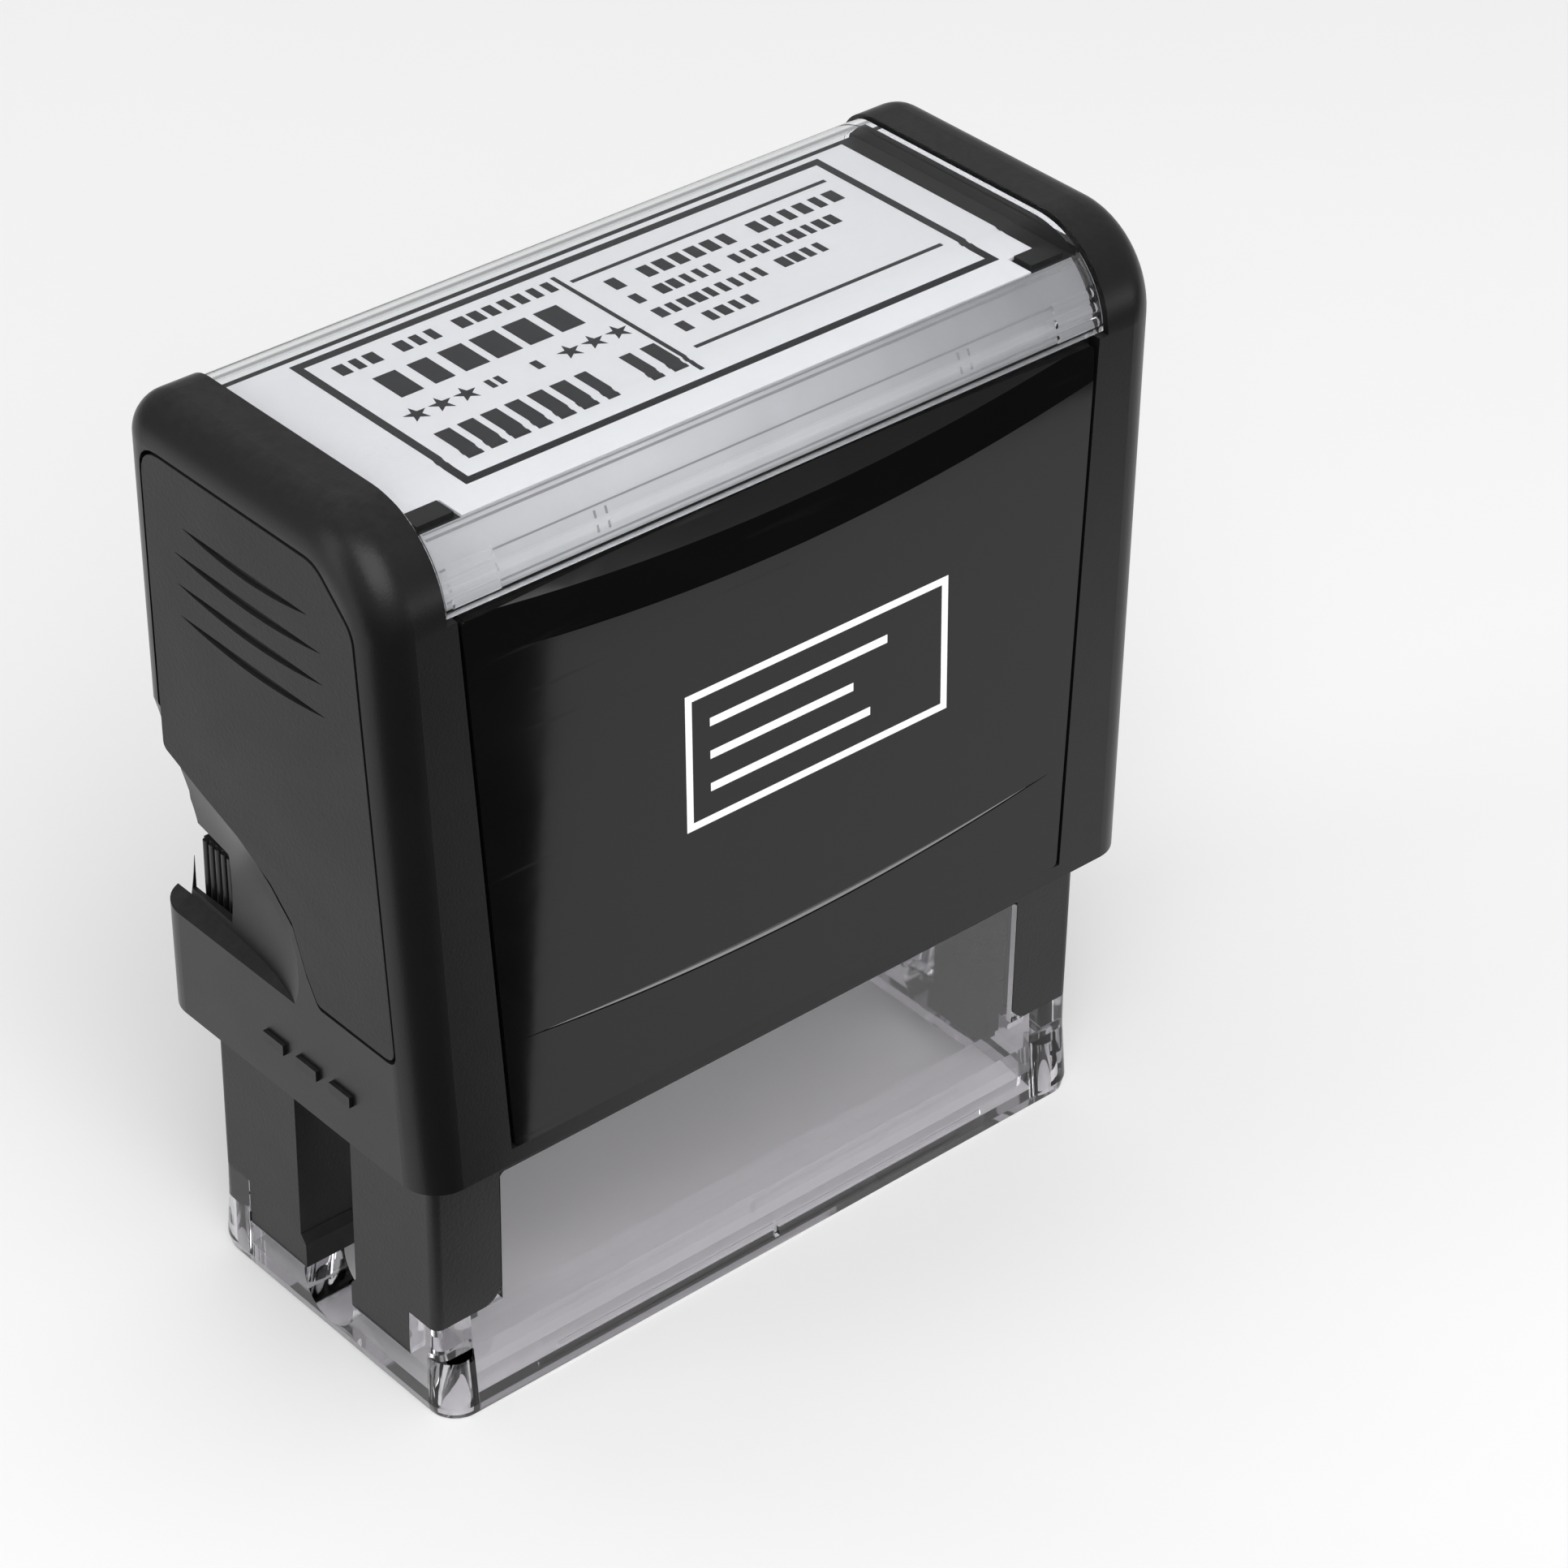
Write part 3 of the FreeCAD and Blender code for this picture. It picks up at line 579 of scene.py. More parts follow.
def shoulder_ring(x, corners):
    """Points at one place along X round the window's front shoulder, from radius and angle."""
    return [(x, SHOULDER_Y - r * math.cos(a), SHOULDER_Z + r * math.sin(a)) for r, a in corners]


def finish_piece(name, mesh, material, smooth=False):
    """Turns a bmesh into an object at the origin, with its faces outward."""
    bmesh.ops.recalc_face_normals(mesh, faces=mesh.faces)
    data = bpy.data.meshes.new(name)
    mesh.to_mesh(data)
    mesh.free()
    data.materials.append(material)
    for polygon in data.polygons:
        polygon.use_smooth = smooth
        polygon.material_index = 0
    obj = bpy.data.objects.new(name, data)
    bpy.context.scene.collection.objects.link(obj)
    return obj


# ---- geometry node trees ----------------------------------------------------------------

def new_geometry_tree(name, inputs):
    """An empty geometry tree with named inputs; returns the tree and its two end nodes."""
    tree = bpy.data.node_groups.new(name, "GeometryNodeTree")
    for label, kind, default in inputs:
        socket = tree.interface.new_socket(name=label, in_out="INPUT", socket_type=kind)
        if default is not None:
            socket.default_value = default
    tree.interface.new_socket(name="Geometry", in_out="OUTPUT", socket_type="NodeSocketGeometry")
    return tree, tree.nodes.new("NodeGroupInput"), tree.nodes.new("NodeGroupOutput")


def end_tree(tree, geometry, source, sink):
    """Ends a tree with Realize Instances and Set Material."""
    real = tree.nodes.new("GeometryNodeRealizeInstances")
    paint = tree.nodes.new("GeometryNodeSetMaterial")
    link(tree, geometry, real.inputs["Geometry"])
    link(tree, real.outputs["Geometry"], paint.inputs["Geometry"])
    link(tree, source.outputs["Material"], paint.inputs["Material"])
    link(tree, paint.outputs["Geometry"], sink.inputs["Geometry"])


def row_points(tree, source):
    """Evenly spaced points along X, centred in their cells, from Length and Count."""
    line = add_node(tree, "GeometryNodeMeshLine")
    step = math_node(tree, "DIVIDE", source.outputs["Length"], source.outputs["Count"])
    offset = tree.nodes.new("ShaderNodeCombineXYZ")
    start = tree.nodes.new("ShaderNodeCombineXYZ")
    link(tree, step, offset.inputs["X"])
    link(tree, math_node(tree, "MULTIPLY", step, 0.5), start.inputs["X"])
    link(tree, source.outputs["Count"], line.inputs["Count"])
    link(tree, start.outputs["Vector"], line.inputs["Start Location"])
    link(tree, offset.outputs["Vector"], line.inputs["Offset"])
    return line.outputs["Mesh"], step


ROW_INPUTS = [
    ("Length", "NodeSocketFloat", 0.02),
    ("Height", "NodeSocketFloat", 0.002),
    ("Depth", "NodeSocketFloat", 0.0001),
    ("Count", "NodeSocketInt", 10),
    ("Seed", "NodeSocketInt", 3),
    ("Material", "NodeSocketMaterial", None),
]


def build_block_row_tree():
    """A row of small blocks that stands in for a line of writing, with random word breaks."""
    tree, source, sink = new_geometry_tree("block_row", ROW_INPUTS)
    points, step = row_points(tree, source)
    block = tree.nodes.new("GeometryNodeMeshCube")
    size = tree.nodes.new("ShaderNodeCombineXYZ")
    link(tree, math_node(tree, "MULTIPLY", step, 0.80), size.inputs["X"])
    link(tree, source.outputs["Height"], size.inputs["Y"])
    link(tree, source.outputs["Depth"], size.inputs["Z"])
    link(tree, size.outputs["Vector"], block.inputs["Size"])
    skip = add_node(tree, "FunctionNodeRandomValue", data_type="BOOLEAN")
    skip.inputs["Probability"].default_value = 0.84
    link(tree, source.outputs["Seed"], skip.inputs["Seed"])
    width = add_node(tree, "FunctionNodeRandomValue", data_type="FLOAT")
    width.inputs[2].default_value = 0.62
    width.inputs[3].default_value = 1.0
    link(tree, source.outputs["Seed"], width.inputs["Seed"])
    scale = tree.nodes.new("ShaderNodeCombineXYZ")
    scale.inputs["Y"].default_value = 1.0
    scale.inputs["Z"].default_value = 1.0
    link(tree, width.outputs[1], scale.inputs["X"])
    placed = tree.nodes.new("GeometryNodeInstanceOnPoints")
    link(tree, points, placed.inputs["Points"])
    link(tree, skip.outputs[3], placed.inputs["Selection"])
    link(tree, block.outputs["Mesh"], placed.inputs["Instance"])
    link(tree, scale.outputs["Vector"], placed.inputs["Scale"])
    end_tree(tree, placed.outputs["Instances"], source, sink)


def build_star_row_tree():
    """A row of five-pointed stars."""
    tree, source, sink = new_geometry_tree("star_row", ROW_INPUTS)
    points = row_points(tree, source)[0]
    outer = math_node(tree, "MULTIPLY", source.outputs["Height"], 0.53)
    inner = math_node(tree, "MULTIPLY", source.outputs["Height"], 0.21)
    star = add_node(tree, "GeometryNodeCurveStar")
    star.inputs["Points"].default_value = 5
    star.inputs["Twist"].default_value = 0.0
    link(tree, inner, star.inputs["Inner Radius"])
    link(tree, outer, star.inputs["Outer Radius"])
    filled = tree.nodes.new("GeometryNodeFillCurve")
    link(tree, star.outputs["Curve"], filled.inputs["Curve"])
    raised = tree.nodes.new("GeometryNodeExtrudeMesh")
    raised.inputs["Individual"].default_value = False
    link(tree, filled.outputs["Mesh"], raised.inputs["Mesh"])
    link(tree, source.outputs["Depth"], raised.inputs["Offset Scale"])
    both = tree.nodes.new("GeometryNodeJoinGeometry")
    flip = tree.nodes.new("GeometryNodeFlipFaces")
    link(tree, filled.outputs["Mesh"], flip.inputs["Mesh"])
    link(tree, raised.outputs["Mesh"], both.inputs["Geometry"])
    link(tree, flip.outputs["Mesh"], both.inputs["Geometry"])
    placed = tree.nodes.new("GeometryNodeInstanceOnPoints")
    turn = add_node(tree, "ShaderNodeCombineXYZ")
    turn.inputs["Z"].default_value = math.radians(18.0)
    link(tree, turn.outputs["Vector"], placed.inputs["Rotation"])
    link(tree, points, placed.inputs["Points"])
    link(tree, both.outputs["Geometry"], placed.inputs["Instance"])
    end_tree(tree, placed.outputs["Instances"], source, sink)


def build_coil_tree():
    """A compression spring: a round wire swept along a helix that rises along Z."""
    inputs = [
        ("Turns", "NodeSocketFloat", 6.5),
        ("Coil Radius", "NodeSocketFloat", 0.0054),
        ("Wire Radius", "NodeSocketFloat", 0.00045),
        ("Rise", "NodeSocketFloat", 0.03),
        ("Material", "NodeSocketMaterial", None),
    ]
    tree, source, sink = new_geometry_tree("coil", inputs)
    helix = tree.nodes.new("GeometryNodeCurveSpiral")
    helix.inputs["Resolution"].default_value = 40
    link(tree, source.outputs["Turns"], helix.inputs["Rotations"])
    link(tree, source.outputs["Coil Radius"], helix.inputs["Start Radius"])
    link(tree, source.outputs["Coil Radius"], helix.inputs["End Radius"])
    link(tree, source.outputs["Rise"], helix.inputs["Height"])
    wire = tree.nodes.new("GeometryNodeCurvePrimitiveCircle")
    wire.inputs["Resolution"].default_value = 12
    link(tree, source.outputs["Wire Radius"], wire.inputs["Radius"])
    swept = tree.nodes.new("GeometryNodeCurveToMesh")
    swept.inputs["Fill Caps"].default_value = True
    link(tree, helix.outputs["Curve"], swept.inputs["Curve"])
    link(tree, wire.outputs["Curve"], swept.inputs["Profile Curve"])
    end_tree(tree, swept.outputs["Mesh"], source, sink)


def grow(tree_name, values):
    """Runs a geometry tree with the given inputs and returns the plain mesh it makes."""
    tree = bpy.data.node_groups[tree_name]
    seed = bpy.data.objects.new("seed", bpy.data.meshes.new("seed"))
    bpy.context.scene.collection.objects.link(seed)
    modifier = seed.modifiers.new("grow", "NODES")
    modifier.node_group = tree
    for item in tree.interface.items_tree:
        if item.item_type == "SOCKET" and item.in_out == "INPUT" and item.name in values:
            modifier[item.identifier] = values[item.name]
    bpy.context.view_layer.update()
    graph = bpy.context.evaluated_depsgraph_get()
    data = bpy.data.meshes.new_from_object(seed.evaluated_get(graph))
    seed.modifiers.clear()
    bpy.data.objects.remove(seed)
    if not data.polygons:
        raise RuntimeError(f"the tree {tree_name} made nothing")
    return data


def add_grown(mesh, tree_name, values, place):
    """Adds what a geometry tree makes to a bmesh, moved by a matrix."""
    data = grow(tree_name, values)
    data.transform(place)
    mesh.from_mesh(data)
    bpy.data.meshes.remove(data)


# ---- the imprint's layout, shared by the card and the die -------------------------------

# Rows of writing and stars, in millimetres from the border's centre:
# tree, left end, centre line, length, height, count, seed.
IMPRINT_ROWS = [
    ("block_row", -29.6, 9.6, 26.0, 1.9, 15, 4),
    ("block_row", -28.2, 4.4, 22.6, 4.4, 6, 11),
    ("star_row", -29.8, -1.0, 8.6, 2.5, 3, 0),
    ("block_row", -20.4, -1.0, 7.6, 1.5, 7, 8),
    ("star_row", -12.0, -1.0, 8.6, 2.5, 3, 0),
    ("block_row", -29.8, -7.2, 26.6, 5.0, 10, 29),
    ("block_row", -0.2, 6.2, 29.4, 2.1, 15, 5),
    ("block_row", -0.2, 2.7, 26.0, 1.8, 17, 9),
    ("block_row", -0.2, -0.7, 21.4, 1.8, 14, 13),
    ("block_row", -0.2, -4.1, 9.6, 1.8, 6, 6),
]
# The upright rule as its place along X, low end and high end; the level rules as left end,
# right end and height.
IMPRINT_DIVIDER = (-3.1, -10.9, 10.9)
IMPRINT_RULES = [(-2.2, 29.8, 9.1), (-1.2, 29.8, -7.7)]


def build_imprint(mesh, sizes, centre, depth, material, scale=1.0):
    """Adds the border, the rules and the rows of an imprint to a bmesh."""
    half_x = 0.5 * sizes.imprint_length * scale
    half_y = 0.5 * sizes.imprint_width * scale
    line = sizes.border_line
    thin = 0.5 * sizes.rule_line
    x0, y0, z0 = centre
    z1 = z0 + depth

    def bar(left, right, low, high):
        add_box(mesh, (x0 + left, y0 + low, z0), (x0 + right, y0 + high, z1))

    bar(-half_x, half_x, half_y - line, half_y)
    bar(-half_x, half_x, -half_y, -half_y + line)
    bar(-half_x, -half_x + line, -half_y + line, half_y - line)
    bar(half_x - line, half_x, -half_y + line, half_y - line)
    x, low, high = [v * MM * scale for v in IMPRINT_DIVIDER]
    bar(x - thin, x + thin, low, high)
    for left, right, y in IMPRINT_RULES:
        bar(left * MM * scale, right * MM * scale, y * MM * scale - thin, y * MM * scale + thin)
    for tree_name, left, y, length, height, count, seed in IMPRINT_ROWS:
        values = {"Length": length * MM * scale, "Height": height * MM * scale, "Depth": depth,
                  "Count": count, "Seed": seed, "Material": material}
        lift = 0.5 * depth if tree_name == "block_row" else 0.0
        place = Matrix.Translation((x0 + left * MM * scale, y0 + y * MM * scale, z0 + lift))
        add_grown(mesh, tree_name, values, place)


# ---- operators: one for each piece or group of like pieces ------------------------------

class STAMP_OT_shared_effects(bpy.types.Operator):
    """Build the shader groups and geometry trees that the pieces share"""

    bl_idname = "stamp.shared_effects"
    bl_label = "Shared Effects"

    def execute(self, context):
        build_grain_group()
        build_handling_group()
        build_speck_and_top_light_group()
        build_block_row_tree()
        build_star_row_tree()
        build_coil_tree()
        return {"FINISHED"}


class STAMP_OT_cap(bpy.types.Operator):
    """Finish the cap: satin shell, matte end plates and glossy long plates"""

    bl_idname = "stamp.cap"
    bl_label = "Cap"

    def execute(self, context):
        colours = context.scene.stamp_colours
        dress(["cap_shell"], moulded_plastic(
            "shell_satin", colours.shell, rough=0.33, grains=4200.0, bump=0.14, sheen=0.30))
        dress(["end_panel_left", "end_panel_right"], moulded_plastic(
            "end_plate_grain", colours.end_plate, rough=0.52, grains=2600.0, bump=0.5, sheen=0.36))
        dress(["front_panel", "back_panel"], gloss_plate("piano_black", colours.gloss))
        return {"FINISHED"}


class STAMP_OT_frame(bpy.types.Operator):
    """Finish the frame, the yoke and the plate carrier in satin black"""

    bl_idname = "stamp.frame"
    bl_label = "Frame"

    def execute(self, context):
        colours = context.scene.stamp_colours
        dress(["frame"], moulded_plastic(
            "leg_satin", colours.legs, rough=0.42, grains=3000.0, bump=0.35, sheen=0.32))
        dress(["yoke", "plate_carrier"], moulded_plastic(
            "slide_satin", colours.legs, rough=0.38, grains=3600.0, bump=0.2))
        return {"FINISHED"}


class STAMP_OT_clear_parts(bpy.types.Operator):
    """Finish the smoky clear foot and the clear index window"""

    bl_idname = "stamp.clear_parts"
    bl_label = "Clear Parts"

    def execute(self, context):
        colours = context.scene.stamp_colours
        dress(["clear_base"], clear_plastic(
            "smoky_clear", colours.foot, rough=0.02, shade=0.25, bend=1.46))
        dress(["index_window"], clear_plastic(
            "window_clear", colours.window, rough=0.008, shade=0.18, bend=1.24))
        return {"FINISHED"}


class STAMP_OT_cartridge(bpy.types.Operator):
    """Finish the cartridge and lay the inked cushion in it"""

    bl_idname = "stamp.cartridge"
    bl_label = "Ink Cartridge"

    def execute(self, context):
        colours = context.scene.stamp_colours
        dress(["cartridge_case"], moulded_plastic(
            "case_satin", colours.case, rough=0.30, grains=3600.0, bump=0.2))
        mesh = bmesh.new()
        add_cushion(mesh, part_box("pad_cover")[0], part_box("ink_pad")[1])
        cushion = finish_piece("ink_cushion", mesh, cloth_finish("pad_weave", colours.cloth), True)
        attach(cushion, "cartridge")
        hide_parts("ink_pad", "pad_cover")
        return {"FINISHED"}


class STAMP_OT_springs(bpy.types.Operator):
    """Wind the two return springs"""

    bl_idname = "stamp.springs"
    bl_label = "Return Springs"

    def execute(self, context):
        sizes = context.scene.stamp_sizes
        steel = steel_finish("spring_wire", context.scene.stamp_colours.steel)
        for side in ("left", "right"):
            node = f"spring_{side}"
            low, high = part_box(node)
            centre = 0.5 * (low + high)
            rise = high.z - low.z - sizes.wire
            values = {"Turns": sizes.coil_turns, "Coil Radius": sizes.coil_radius,
                      "Wire Radius": 0.5 * sizes.wire, "Rise": rise, "Material": steel}
            mesh = bmesh.new()
            place = Matrix.Translation((centre.x, centre.y, low.z + 0.5 * sizes.wire))
            add_grown(mesh, "coil", values, place)
            coil = finish_piece(f"coil_{side}", mesh, steel, True)
            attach(coil, "base")
            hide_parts(node)
            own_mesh(coil)
        return {"FINISHED"}


class STAMP_OT_card(bpy.types.Operator):
    """Finish the card and print a generic imprint on it"""

    bl_idname = "stamp.card"
    bl_label = "Index Card"

    def execute(self, context):
        sizes = context.scene.stamp_sizes
        colours = context.scene.stamp_colours
        dress(["label_card"], paper_finish("white_card", colours.paper))
        ink = print_finish("card_ink", colours.ink, 0.5)
        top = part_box("label_card")[1].z
        mesh = bmesh.new()
        build_imprint(mesh, sizes, (*CARD_CENTRE, top), sizes.ink_film, ink)
        printed = finish_piece("card_print", mesh, ink)
        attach(printed, "cap")
        return {"FINISHED"}


class STAMP_OT_shoulder_refraction(bpy.types.Operator):
    """Add the light grey band behind the window's front shoulder, painted refraction of the clear
    plastic
    """

    bl_idname = "stamp.window_trim"
    bl_label = "Window Trim"

    def execute(self, context):
        low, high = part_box("index_window")
        inner, outer = SHOULDER_GAP
        first, last = [math.radians(v) for v in BAND_ARC]
        angles = [first + (last - first) * i / BAND_STEPS for i in range(BAND_STEPS + 1)]
        section = [(outer, a) for a in angles] + [(inner, a) for a in reversed(angles)]
        mesh = bmesh.new()
        ends = (low.x + BAND_END_GAP, high.x - BAND_END_GAP)
        add_sweep(mesh, [shoulder_ring(x, section) for x in ends])
        # The band's light grey is painted refraction of the clear shoulder.
        band = finish_piece("shoulder_band", mesh,
                            painted_light_finish("frosted_band", context.scene.stamp_colours.band_refraction), True)
        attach(band, "window")
        self.refraction_lines(context, low, high)
        return {"FINISHED"}

    def refraction_lines(self, context, low, high):
        """Four faint darker lines along the band, painted refraction, and two pairs of short ribs across
        it.
        """
        grey = painted_light_finish("mould_grey", brighter(context.scene.stamp_colours.band_refraction, 0.55))
        inner, outer = [SHOULDER_GAP[1] + v for v in BAND_LINE_DEPTH]
        mesh = bmesh.new()

        def patch(x0, x1, start, width):
            a0, a1 = math.radians(start), math.radians(start) + math.radians(width)
            corners = [(inner, a0), (outer, a0), (outer, a1), (inner, a1)]
            add_sweep(mesh, [shoulder_ring(x, corners) for x in (x0, x1)])

        for start, width in BAND_LINES:
            patch(low.x + BAND_LINE_END_GAP, high.x - BAND_LINE_END_GAP, start, width)
        for x in RIB_PLACES:
            for shift in (0.0, RIB_SPACING):
                patch(x + shift, x + shift + RIB_WIDTH, RIB_ARC[0], RIB_ARC[1] - RIB_ARC[0])
        lines = finish_piece("band_lines", mesh, grey)
        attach(lines, "window")


class STAMP_OT_front_label(bpy.types.Operator):
    """Print a plain blank-label pictogram on the glossy front"""

    bl_idname = "stamp.front_label"
    bl_label = "Front Label"

    def execute(self, context):
        sizes = context.scene.stamp_sizes
        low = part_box("front_panel")[0]
        white = print_finish("white_print", context.scene.stamp_colours.print_white, 0.45)
        mesh = bmesh.new()
        half_x, half_z = 0.5 * sizes.label_length, 0.5 * sizes.label_height
        line = LABEL_FRAME_LINE
        # The marks are laid out flat, then pushed onto the leaning face.
        bars = [(-half_x, half_x, half_z - line, half_z), (-half_x, half_x, -half_z, -half_z + line),
                (-half_x, -half_x + line, -half_z + line, half_z - line),
                (half_x - line, half_x, -half_z + line, half_z - line)]
        reach = half_x * LABEL_MARGIN
        for k, share in enumerate(LABEL_BARS):
            z = half_z * LABEL_BAR_STEP * (1 - k)
            bars.append((-reach, reach * (2 * share - 1), z - LABEL_BAR_HALF, z + LABEL_BAR_HALF))
        centre_x, centre_z = LABEL_CENTRE
        for x0, x1, z0, z1 in bars:
            add_box(mesh, (centre_x + x0, 0.0, centre_z + z0),
                    (centre_x + x1, sizes.ink_film, centre_z + z1))
        for vert in mesh.verts:
            face_y = low.y + FACE_LEAN * (vert.co.z - low.z)
            vert.co.y = face_y - sizes.ink_film + vert.co.y
        label = finish_piece("front_label", mesh, white)
        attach(label, "cap")
        return {"FINISHED"}


class STAMP_OT_groove_highlight_line(bpy.types.Operator):
    """Lay the slim grey line in the front plate's groove, a painted highlight of the groove's face"""

    bl_idname = "stamp.trim_line"
    bl_label = "Trim Line"

    def execute(self, context):
        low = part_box("front_panel")[0]
        front, back = GROOVE_HIGHLIGHT_DEPTH
        rings = []
        for i in range(GROOVE_HIGHLIGHT_STEPS + 1):
            t = i / GROOVE_HIGHLIGHT_STEPS
            bow = 4.0 * t * (1.0 - t)
            x = GROOVE_HIGHLIGHT_HALF * (2.0 * t - 1.0)
            z = GROOVE_HIGHLIGHT_HEIGHT - (GROOVE_HIGHLIGHT_SAG + GROOVE_HIGHLIGHT_DROP) * bow
            rise = 0.5 * GROOVE_HIGHLIGHT_THICK * bow + GROOVE_HIGHLIGHT_TIP
            ring = []
            for side, deep in ((1, front), (1, back), (-1, back), (-1, front)):
                height = z + side * rise
                face_y = low.y + FACE_LEAN * (height - low.z)
                ring.append((x, face_y + deep, height))
            rings.append(ring)
        # The grey line is a painted highlight of the groove's face.
        grey = painted_light_finish("trim_grey", context.scene.stamp_colours.painted_groove_highlight)
        mesh = bmesh.new()
        add_sweep(mesh, rings)
        line = finish_piece("trim_line", mesh, grey)
        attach(line, "cap")
        return {"FINISHED"}


class STAMP_OT_text_plate(bpy.types.Operator):
    """Finish the foam tape and the rubber die, and raise its generic marks"""

    bl_idname = "stamp.text_plate"
    bl_label = "Text Plate"

    def execute(self, context):
        sizes = context.scene.stamp_sizes
        colours = context.scene.stamp_colours
        dress(["adhesive_foam"], foam_finish("foam_cells", colours.foam))
        rubber = rubber_finish("cut_rubber", colours.rubber)
        dress(["rubber_die"], rubber)
        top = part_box("rubber_die")[1].z
        mesh = bmesh.new()
        build_imprint(mesh, sizes, (0.0, 0.0, top), sizes.relief, rubber, DIE_SCALE)
        # A printing face reads mirrored.
        bmesh.ops.scale(mesh, vec=Vector((-1.0, 1.0, 1.0)), verts=mesh.verts)
        relief = finish_piece("die_relief", mesh, rubber)
        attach(relief, "carrier")
        return {"FINISHED"}


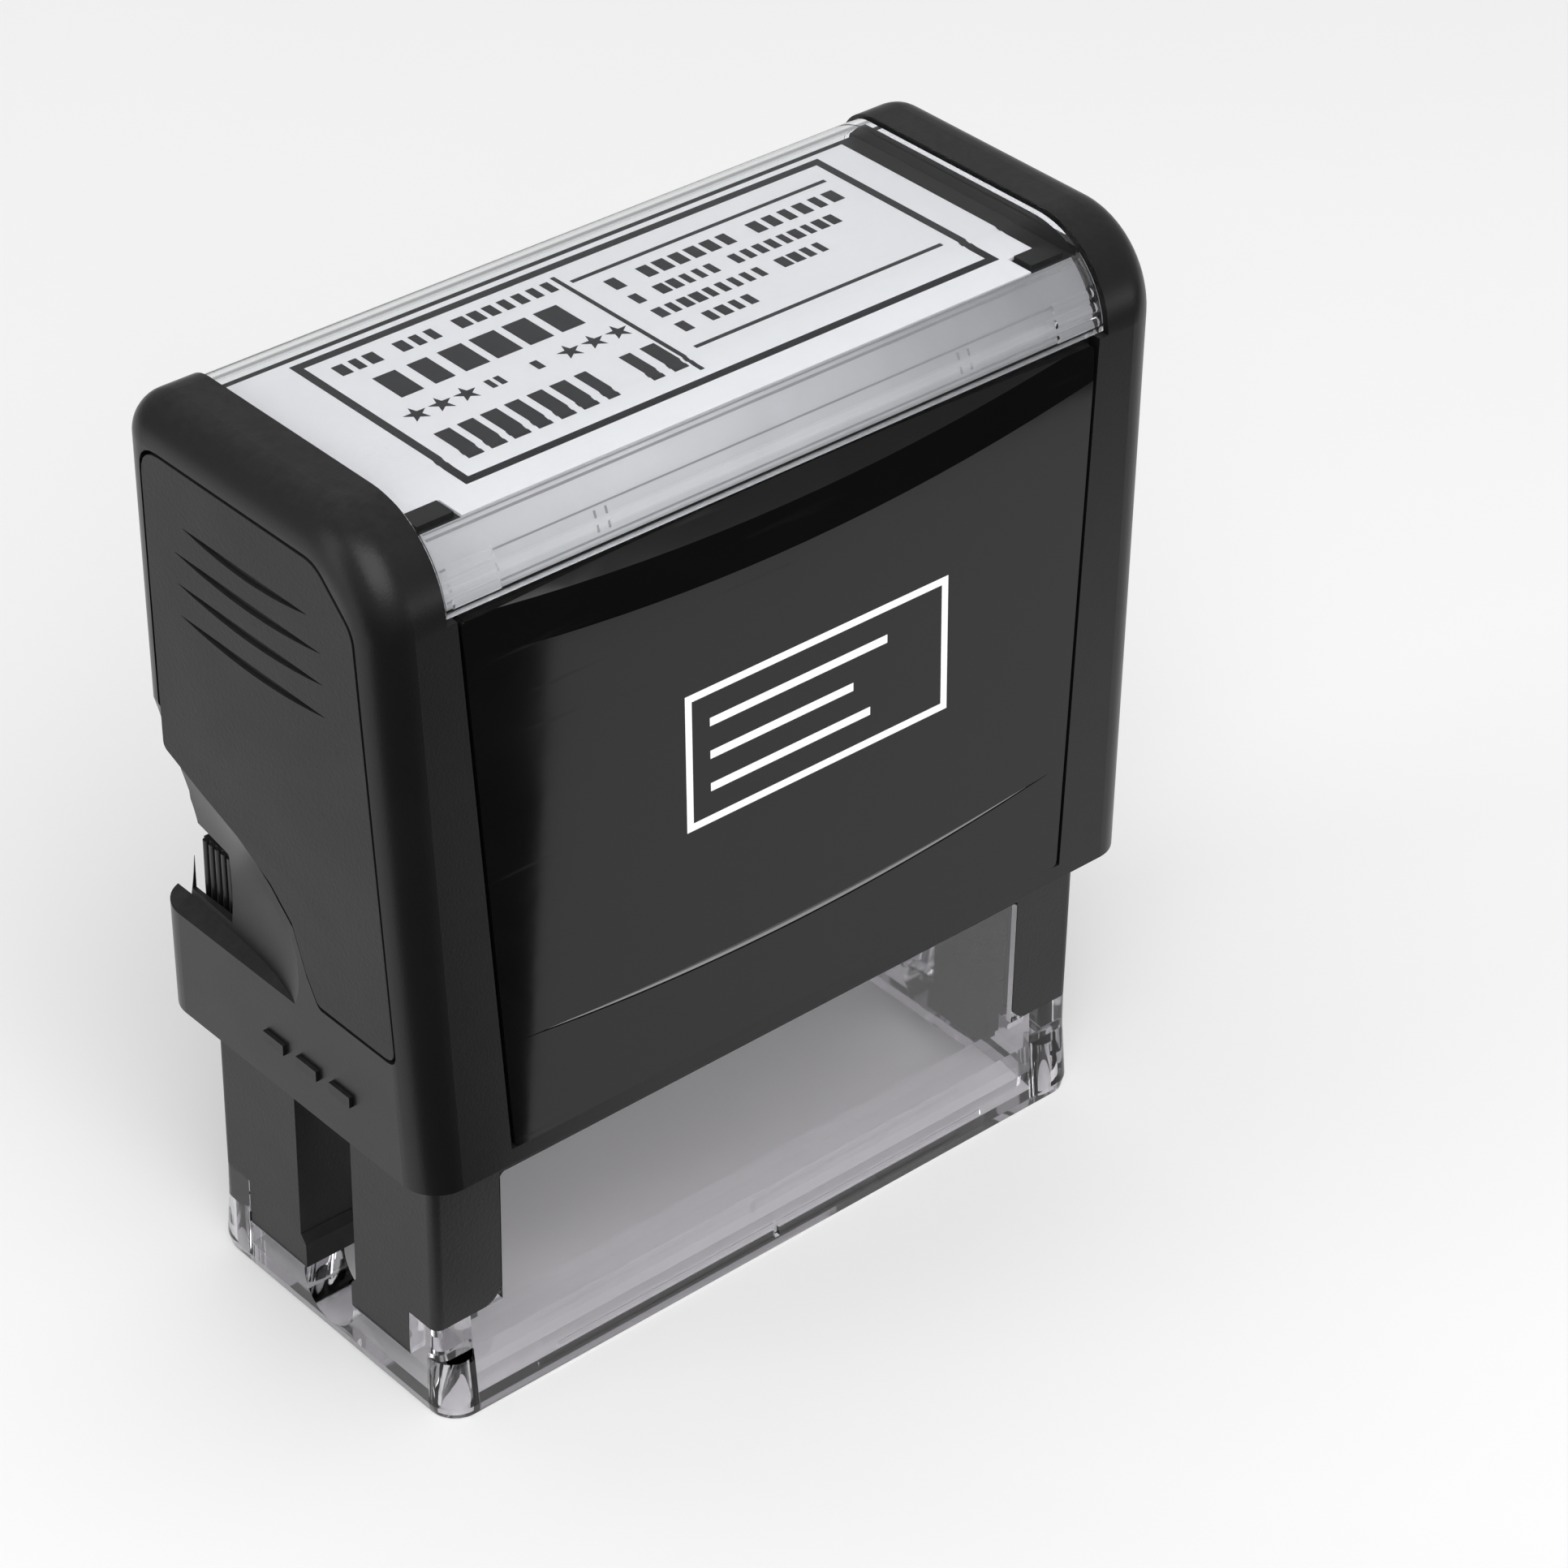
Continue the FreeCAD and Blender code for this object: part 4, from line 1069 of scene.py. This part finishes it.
class STAMP_OT_stage(bpy.types.Operator):
    """Lay the pale floor, hang the soft lights and set the camera"""

    bl_idname = "stamp.stage"
    bl_label = "Stage"

    def execute(self, context):
        scene = context.scene
        stage = scene.stamp_stage
        self.floor(stage)
        self.dark_card()
        self.lights(stage)
        self.world(scene, stage)
        self.camera(scene)
        scene.view_settings.view_transform = "Standard"
        return {"FINISHED"}

    def floor(self, stage):
        """A wide flat floor just below the stamp."""
        mesh = bmesh.new()
        bmesh.ops.create_grid(mesh, x_segments=8, y_segments=8, size=FLOOR_HALF)
        bmesh.ops.translate(mesh, vec=Vector((0.0, 0.0, -FLOOR_DROP)), verts=mesh.verts)
        finish_piece("floor", mesh, floor_finish("pale_floor", stage.floor))

    def dark_card(self):
        """A black card on the floor in front that is seen only in reflections."""
        material, tree, shader = new_finish("black_card")
        grain = use_group(tree, "fine_grain", Grains=500.0)
        body = blend_colours(tree, grain.outputs["Mottle"], (0.0, 0.0, 0.0), (0.004, 0.004, 0.004))
        link(tree, body, shader.inputs["Base Color"])
        shader.inputs["Roughness"].default_value = 1.0
        shader.inputs["Specular IOR Level"].default_value = 0.0
        mesh = bmesh.new()
        add_sweep(mesh, [[(x, y, z) for x, y in DARK_OUTLINE] for z in DARK_HEIGHTS])
        card = finish_piece("dark_card", mesh, material)
        card.visible_camera = False
        card.visible_diffuse = False
        card.visible_shadow = False
        card.visible_transmission = False

    def lights(self, stage):
        """A large softbox in front, a long strip at the left and a low strip at the right."""
        for name, power, place, aim, size in LIGHTS:
            lamp = bpy.data.lights.new(name, "AREA")
            lamp.shape = "RECTANGLE"
            lamp.size, lamp.size_y = size
            lamp.energy = getattr(stage, power)
            obj = bpy.data.objects.new(name, lamp)
            obj.location = place
            direction = Vector(aim) - Vector(place)
            obj.rotation_euler = direction.to_track_quat("-Z", "Y").to_euler()
            bpy.context.scene.collection.objects.link(obj)

    def world(self, scene, stage):
        """An even white surround, dimmer in reflections."""
        world = bpy.data.worlds.new("studio")
        world.use_nodes = True
        tree = world.node_tree
        back = tree.nodes["Background"]
        back.inputs["Color"].default_value = (1.0, 1.0, 1.0, 1.0)
        path = add_node(tree, "ShaderNodeLightPath")
        strength = spread(tree, path.outputs["Is Glossy Ray"], stage.world, stage.mirrored)
        link(tree, strength, back.inputs["Strength"])
        scene.world = world

    def camera(self, scene):
        """A long lens from the front left, well above."""
        azimuth, elevation, roll = (math.radians(v) for v in CAMERA_TURN)
        back = Vector((math.sin(azimuth) * math.cos(elevation),
                       -math.cos(azimuth) * math.cos(elevation), math.sin(elevation)))
        right = (-back).cross(Vector((0, 0, 1))).normalized()
        down = (-back).cross(right)
        across = right * math.cos(roll) + down * math.sin(roll)
        fall = down * math.cos(roll) - right * math.sin(roll)
        beside, below, ahead = CAMERA_OFFSET
        place = Vector(CAMERA_PIVOT) - across * beside - fall * below + back * ahead
        turn = Matrix((across, -fall, back)).transposed()
        data = bpy.data.cameras.new("camera")
        data.sensor_width = CAMERA_SENSOR
        data.lens = CAMERA_LENS
        data.clip_start, data.clip_end = CAMERA_CLIP
        camera = bpy.data.objects.new("camera", data)
        camera.matrix_world = Matrix.Translation(place) @ turn.to_4x4()
        scene.collection.objects.link(camera)
        scene.camera = camera


class STAMP_PT_panel(bpy.types.Panel):
    """Sidebar panel that lists the steps and their settings"""

    bl_idname = "STAMP_PT_panel"
    bl_label = "Self-inking Stamp"
    bl_space_type = "VIEW_3D"
    bl_region_type = "UI"
    bl_category = "Stamp"

    def draw(self, context):
        column = self.layout.column(align=True)
        for operator in OPERATORS:
            column.operator(operator.bl_idname)
        for group in (context.scene.stamp_sizes, context.scene.stamp_colours, context.scene.stamp_stage):
            box = self.layout.box()
            for key in group.__annotations__:
                box.prop(group, key)


OPERATORS = (
    STAMP_OT_shared_effects,
    STAMP_OT_cap,
    STAMP_OT_frame,
    STAMP_OT_clear_parts,
    STAMP_OT_cartridge,
    STAMP_OT_springs,
    STAMP_OT_card,
    STAMP_OT_shoulder_refraction,
    STAMP_OT_front_label,
    STAMP_OT_groove_highlight_line,
    STAMP_OT_text_plate,
    STAMP_OT_stage,
)
CLASSES = (StampSizes, StampColours, StampStage) + OPERATORS + (STAMP_PT_panel,)


def register():
    """Registers the classes and hangs the settings on the scene."""
    for cls in CLASSES:
        bpy.utils.register_class(cls)
    bpy.types.Scene.stamp_sizes = PointerProperty(type=StampSizes)
    bpy.types.Scene.stamp_colours = PointerProperty(type=StampColours)
    bpy.types.Scene.stamp_stage = PointerProperty(type=StampStage)


def unregister():
    """Takes the settings and the classes away again."""
    del bpy.types.Scene.stamp_stage
    del bpy.types.Scene.stamp_colours
    del bpy.types.Scene.stamp_sizes
    for cls in reversed(CLASSES):
        bpy.utils.unregister_class(cls)


def main():
    """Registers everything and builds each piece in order."""
    register()
    for operator in OPERATORS:
        group, name = operator.bl_idname.split(".")
        result = getattr(getattr(bpy.ops, group), name)()
        if result != {"FINISHED"}:
            raise RuntimeError(f"{operator.bl_idname} did not finish")


if __name__ == "__main__":
    main()
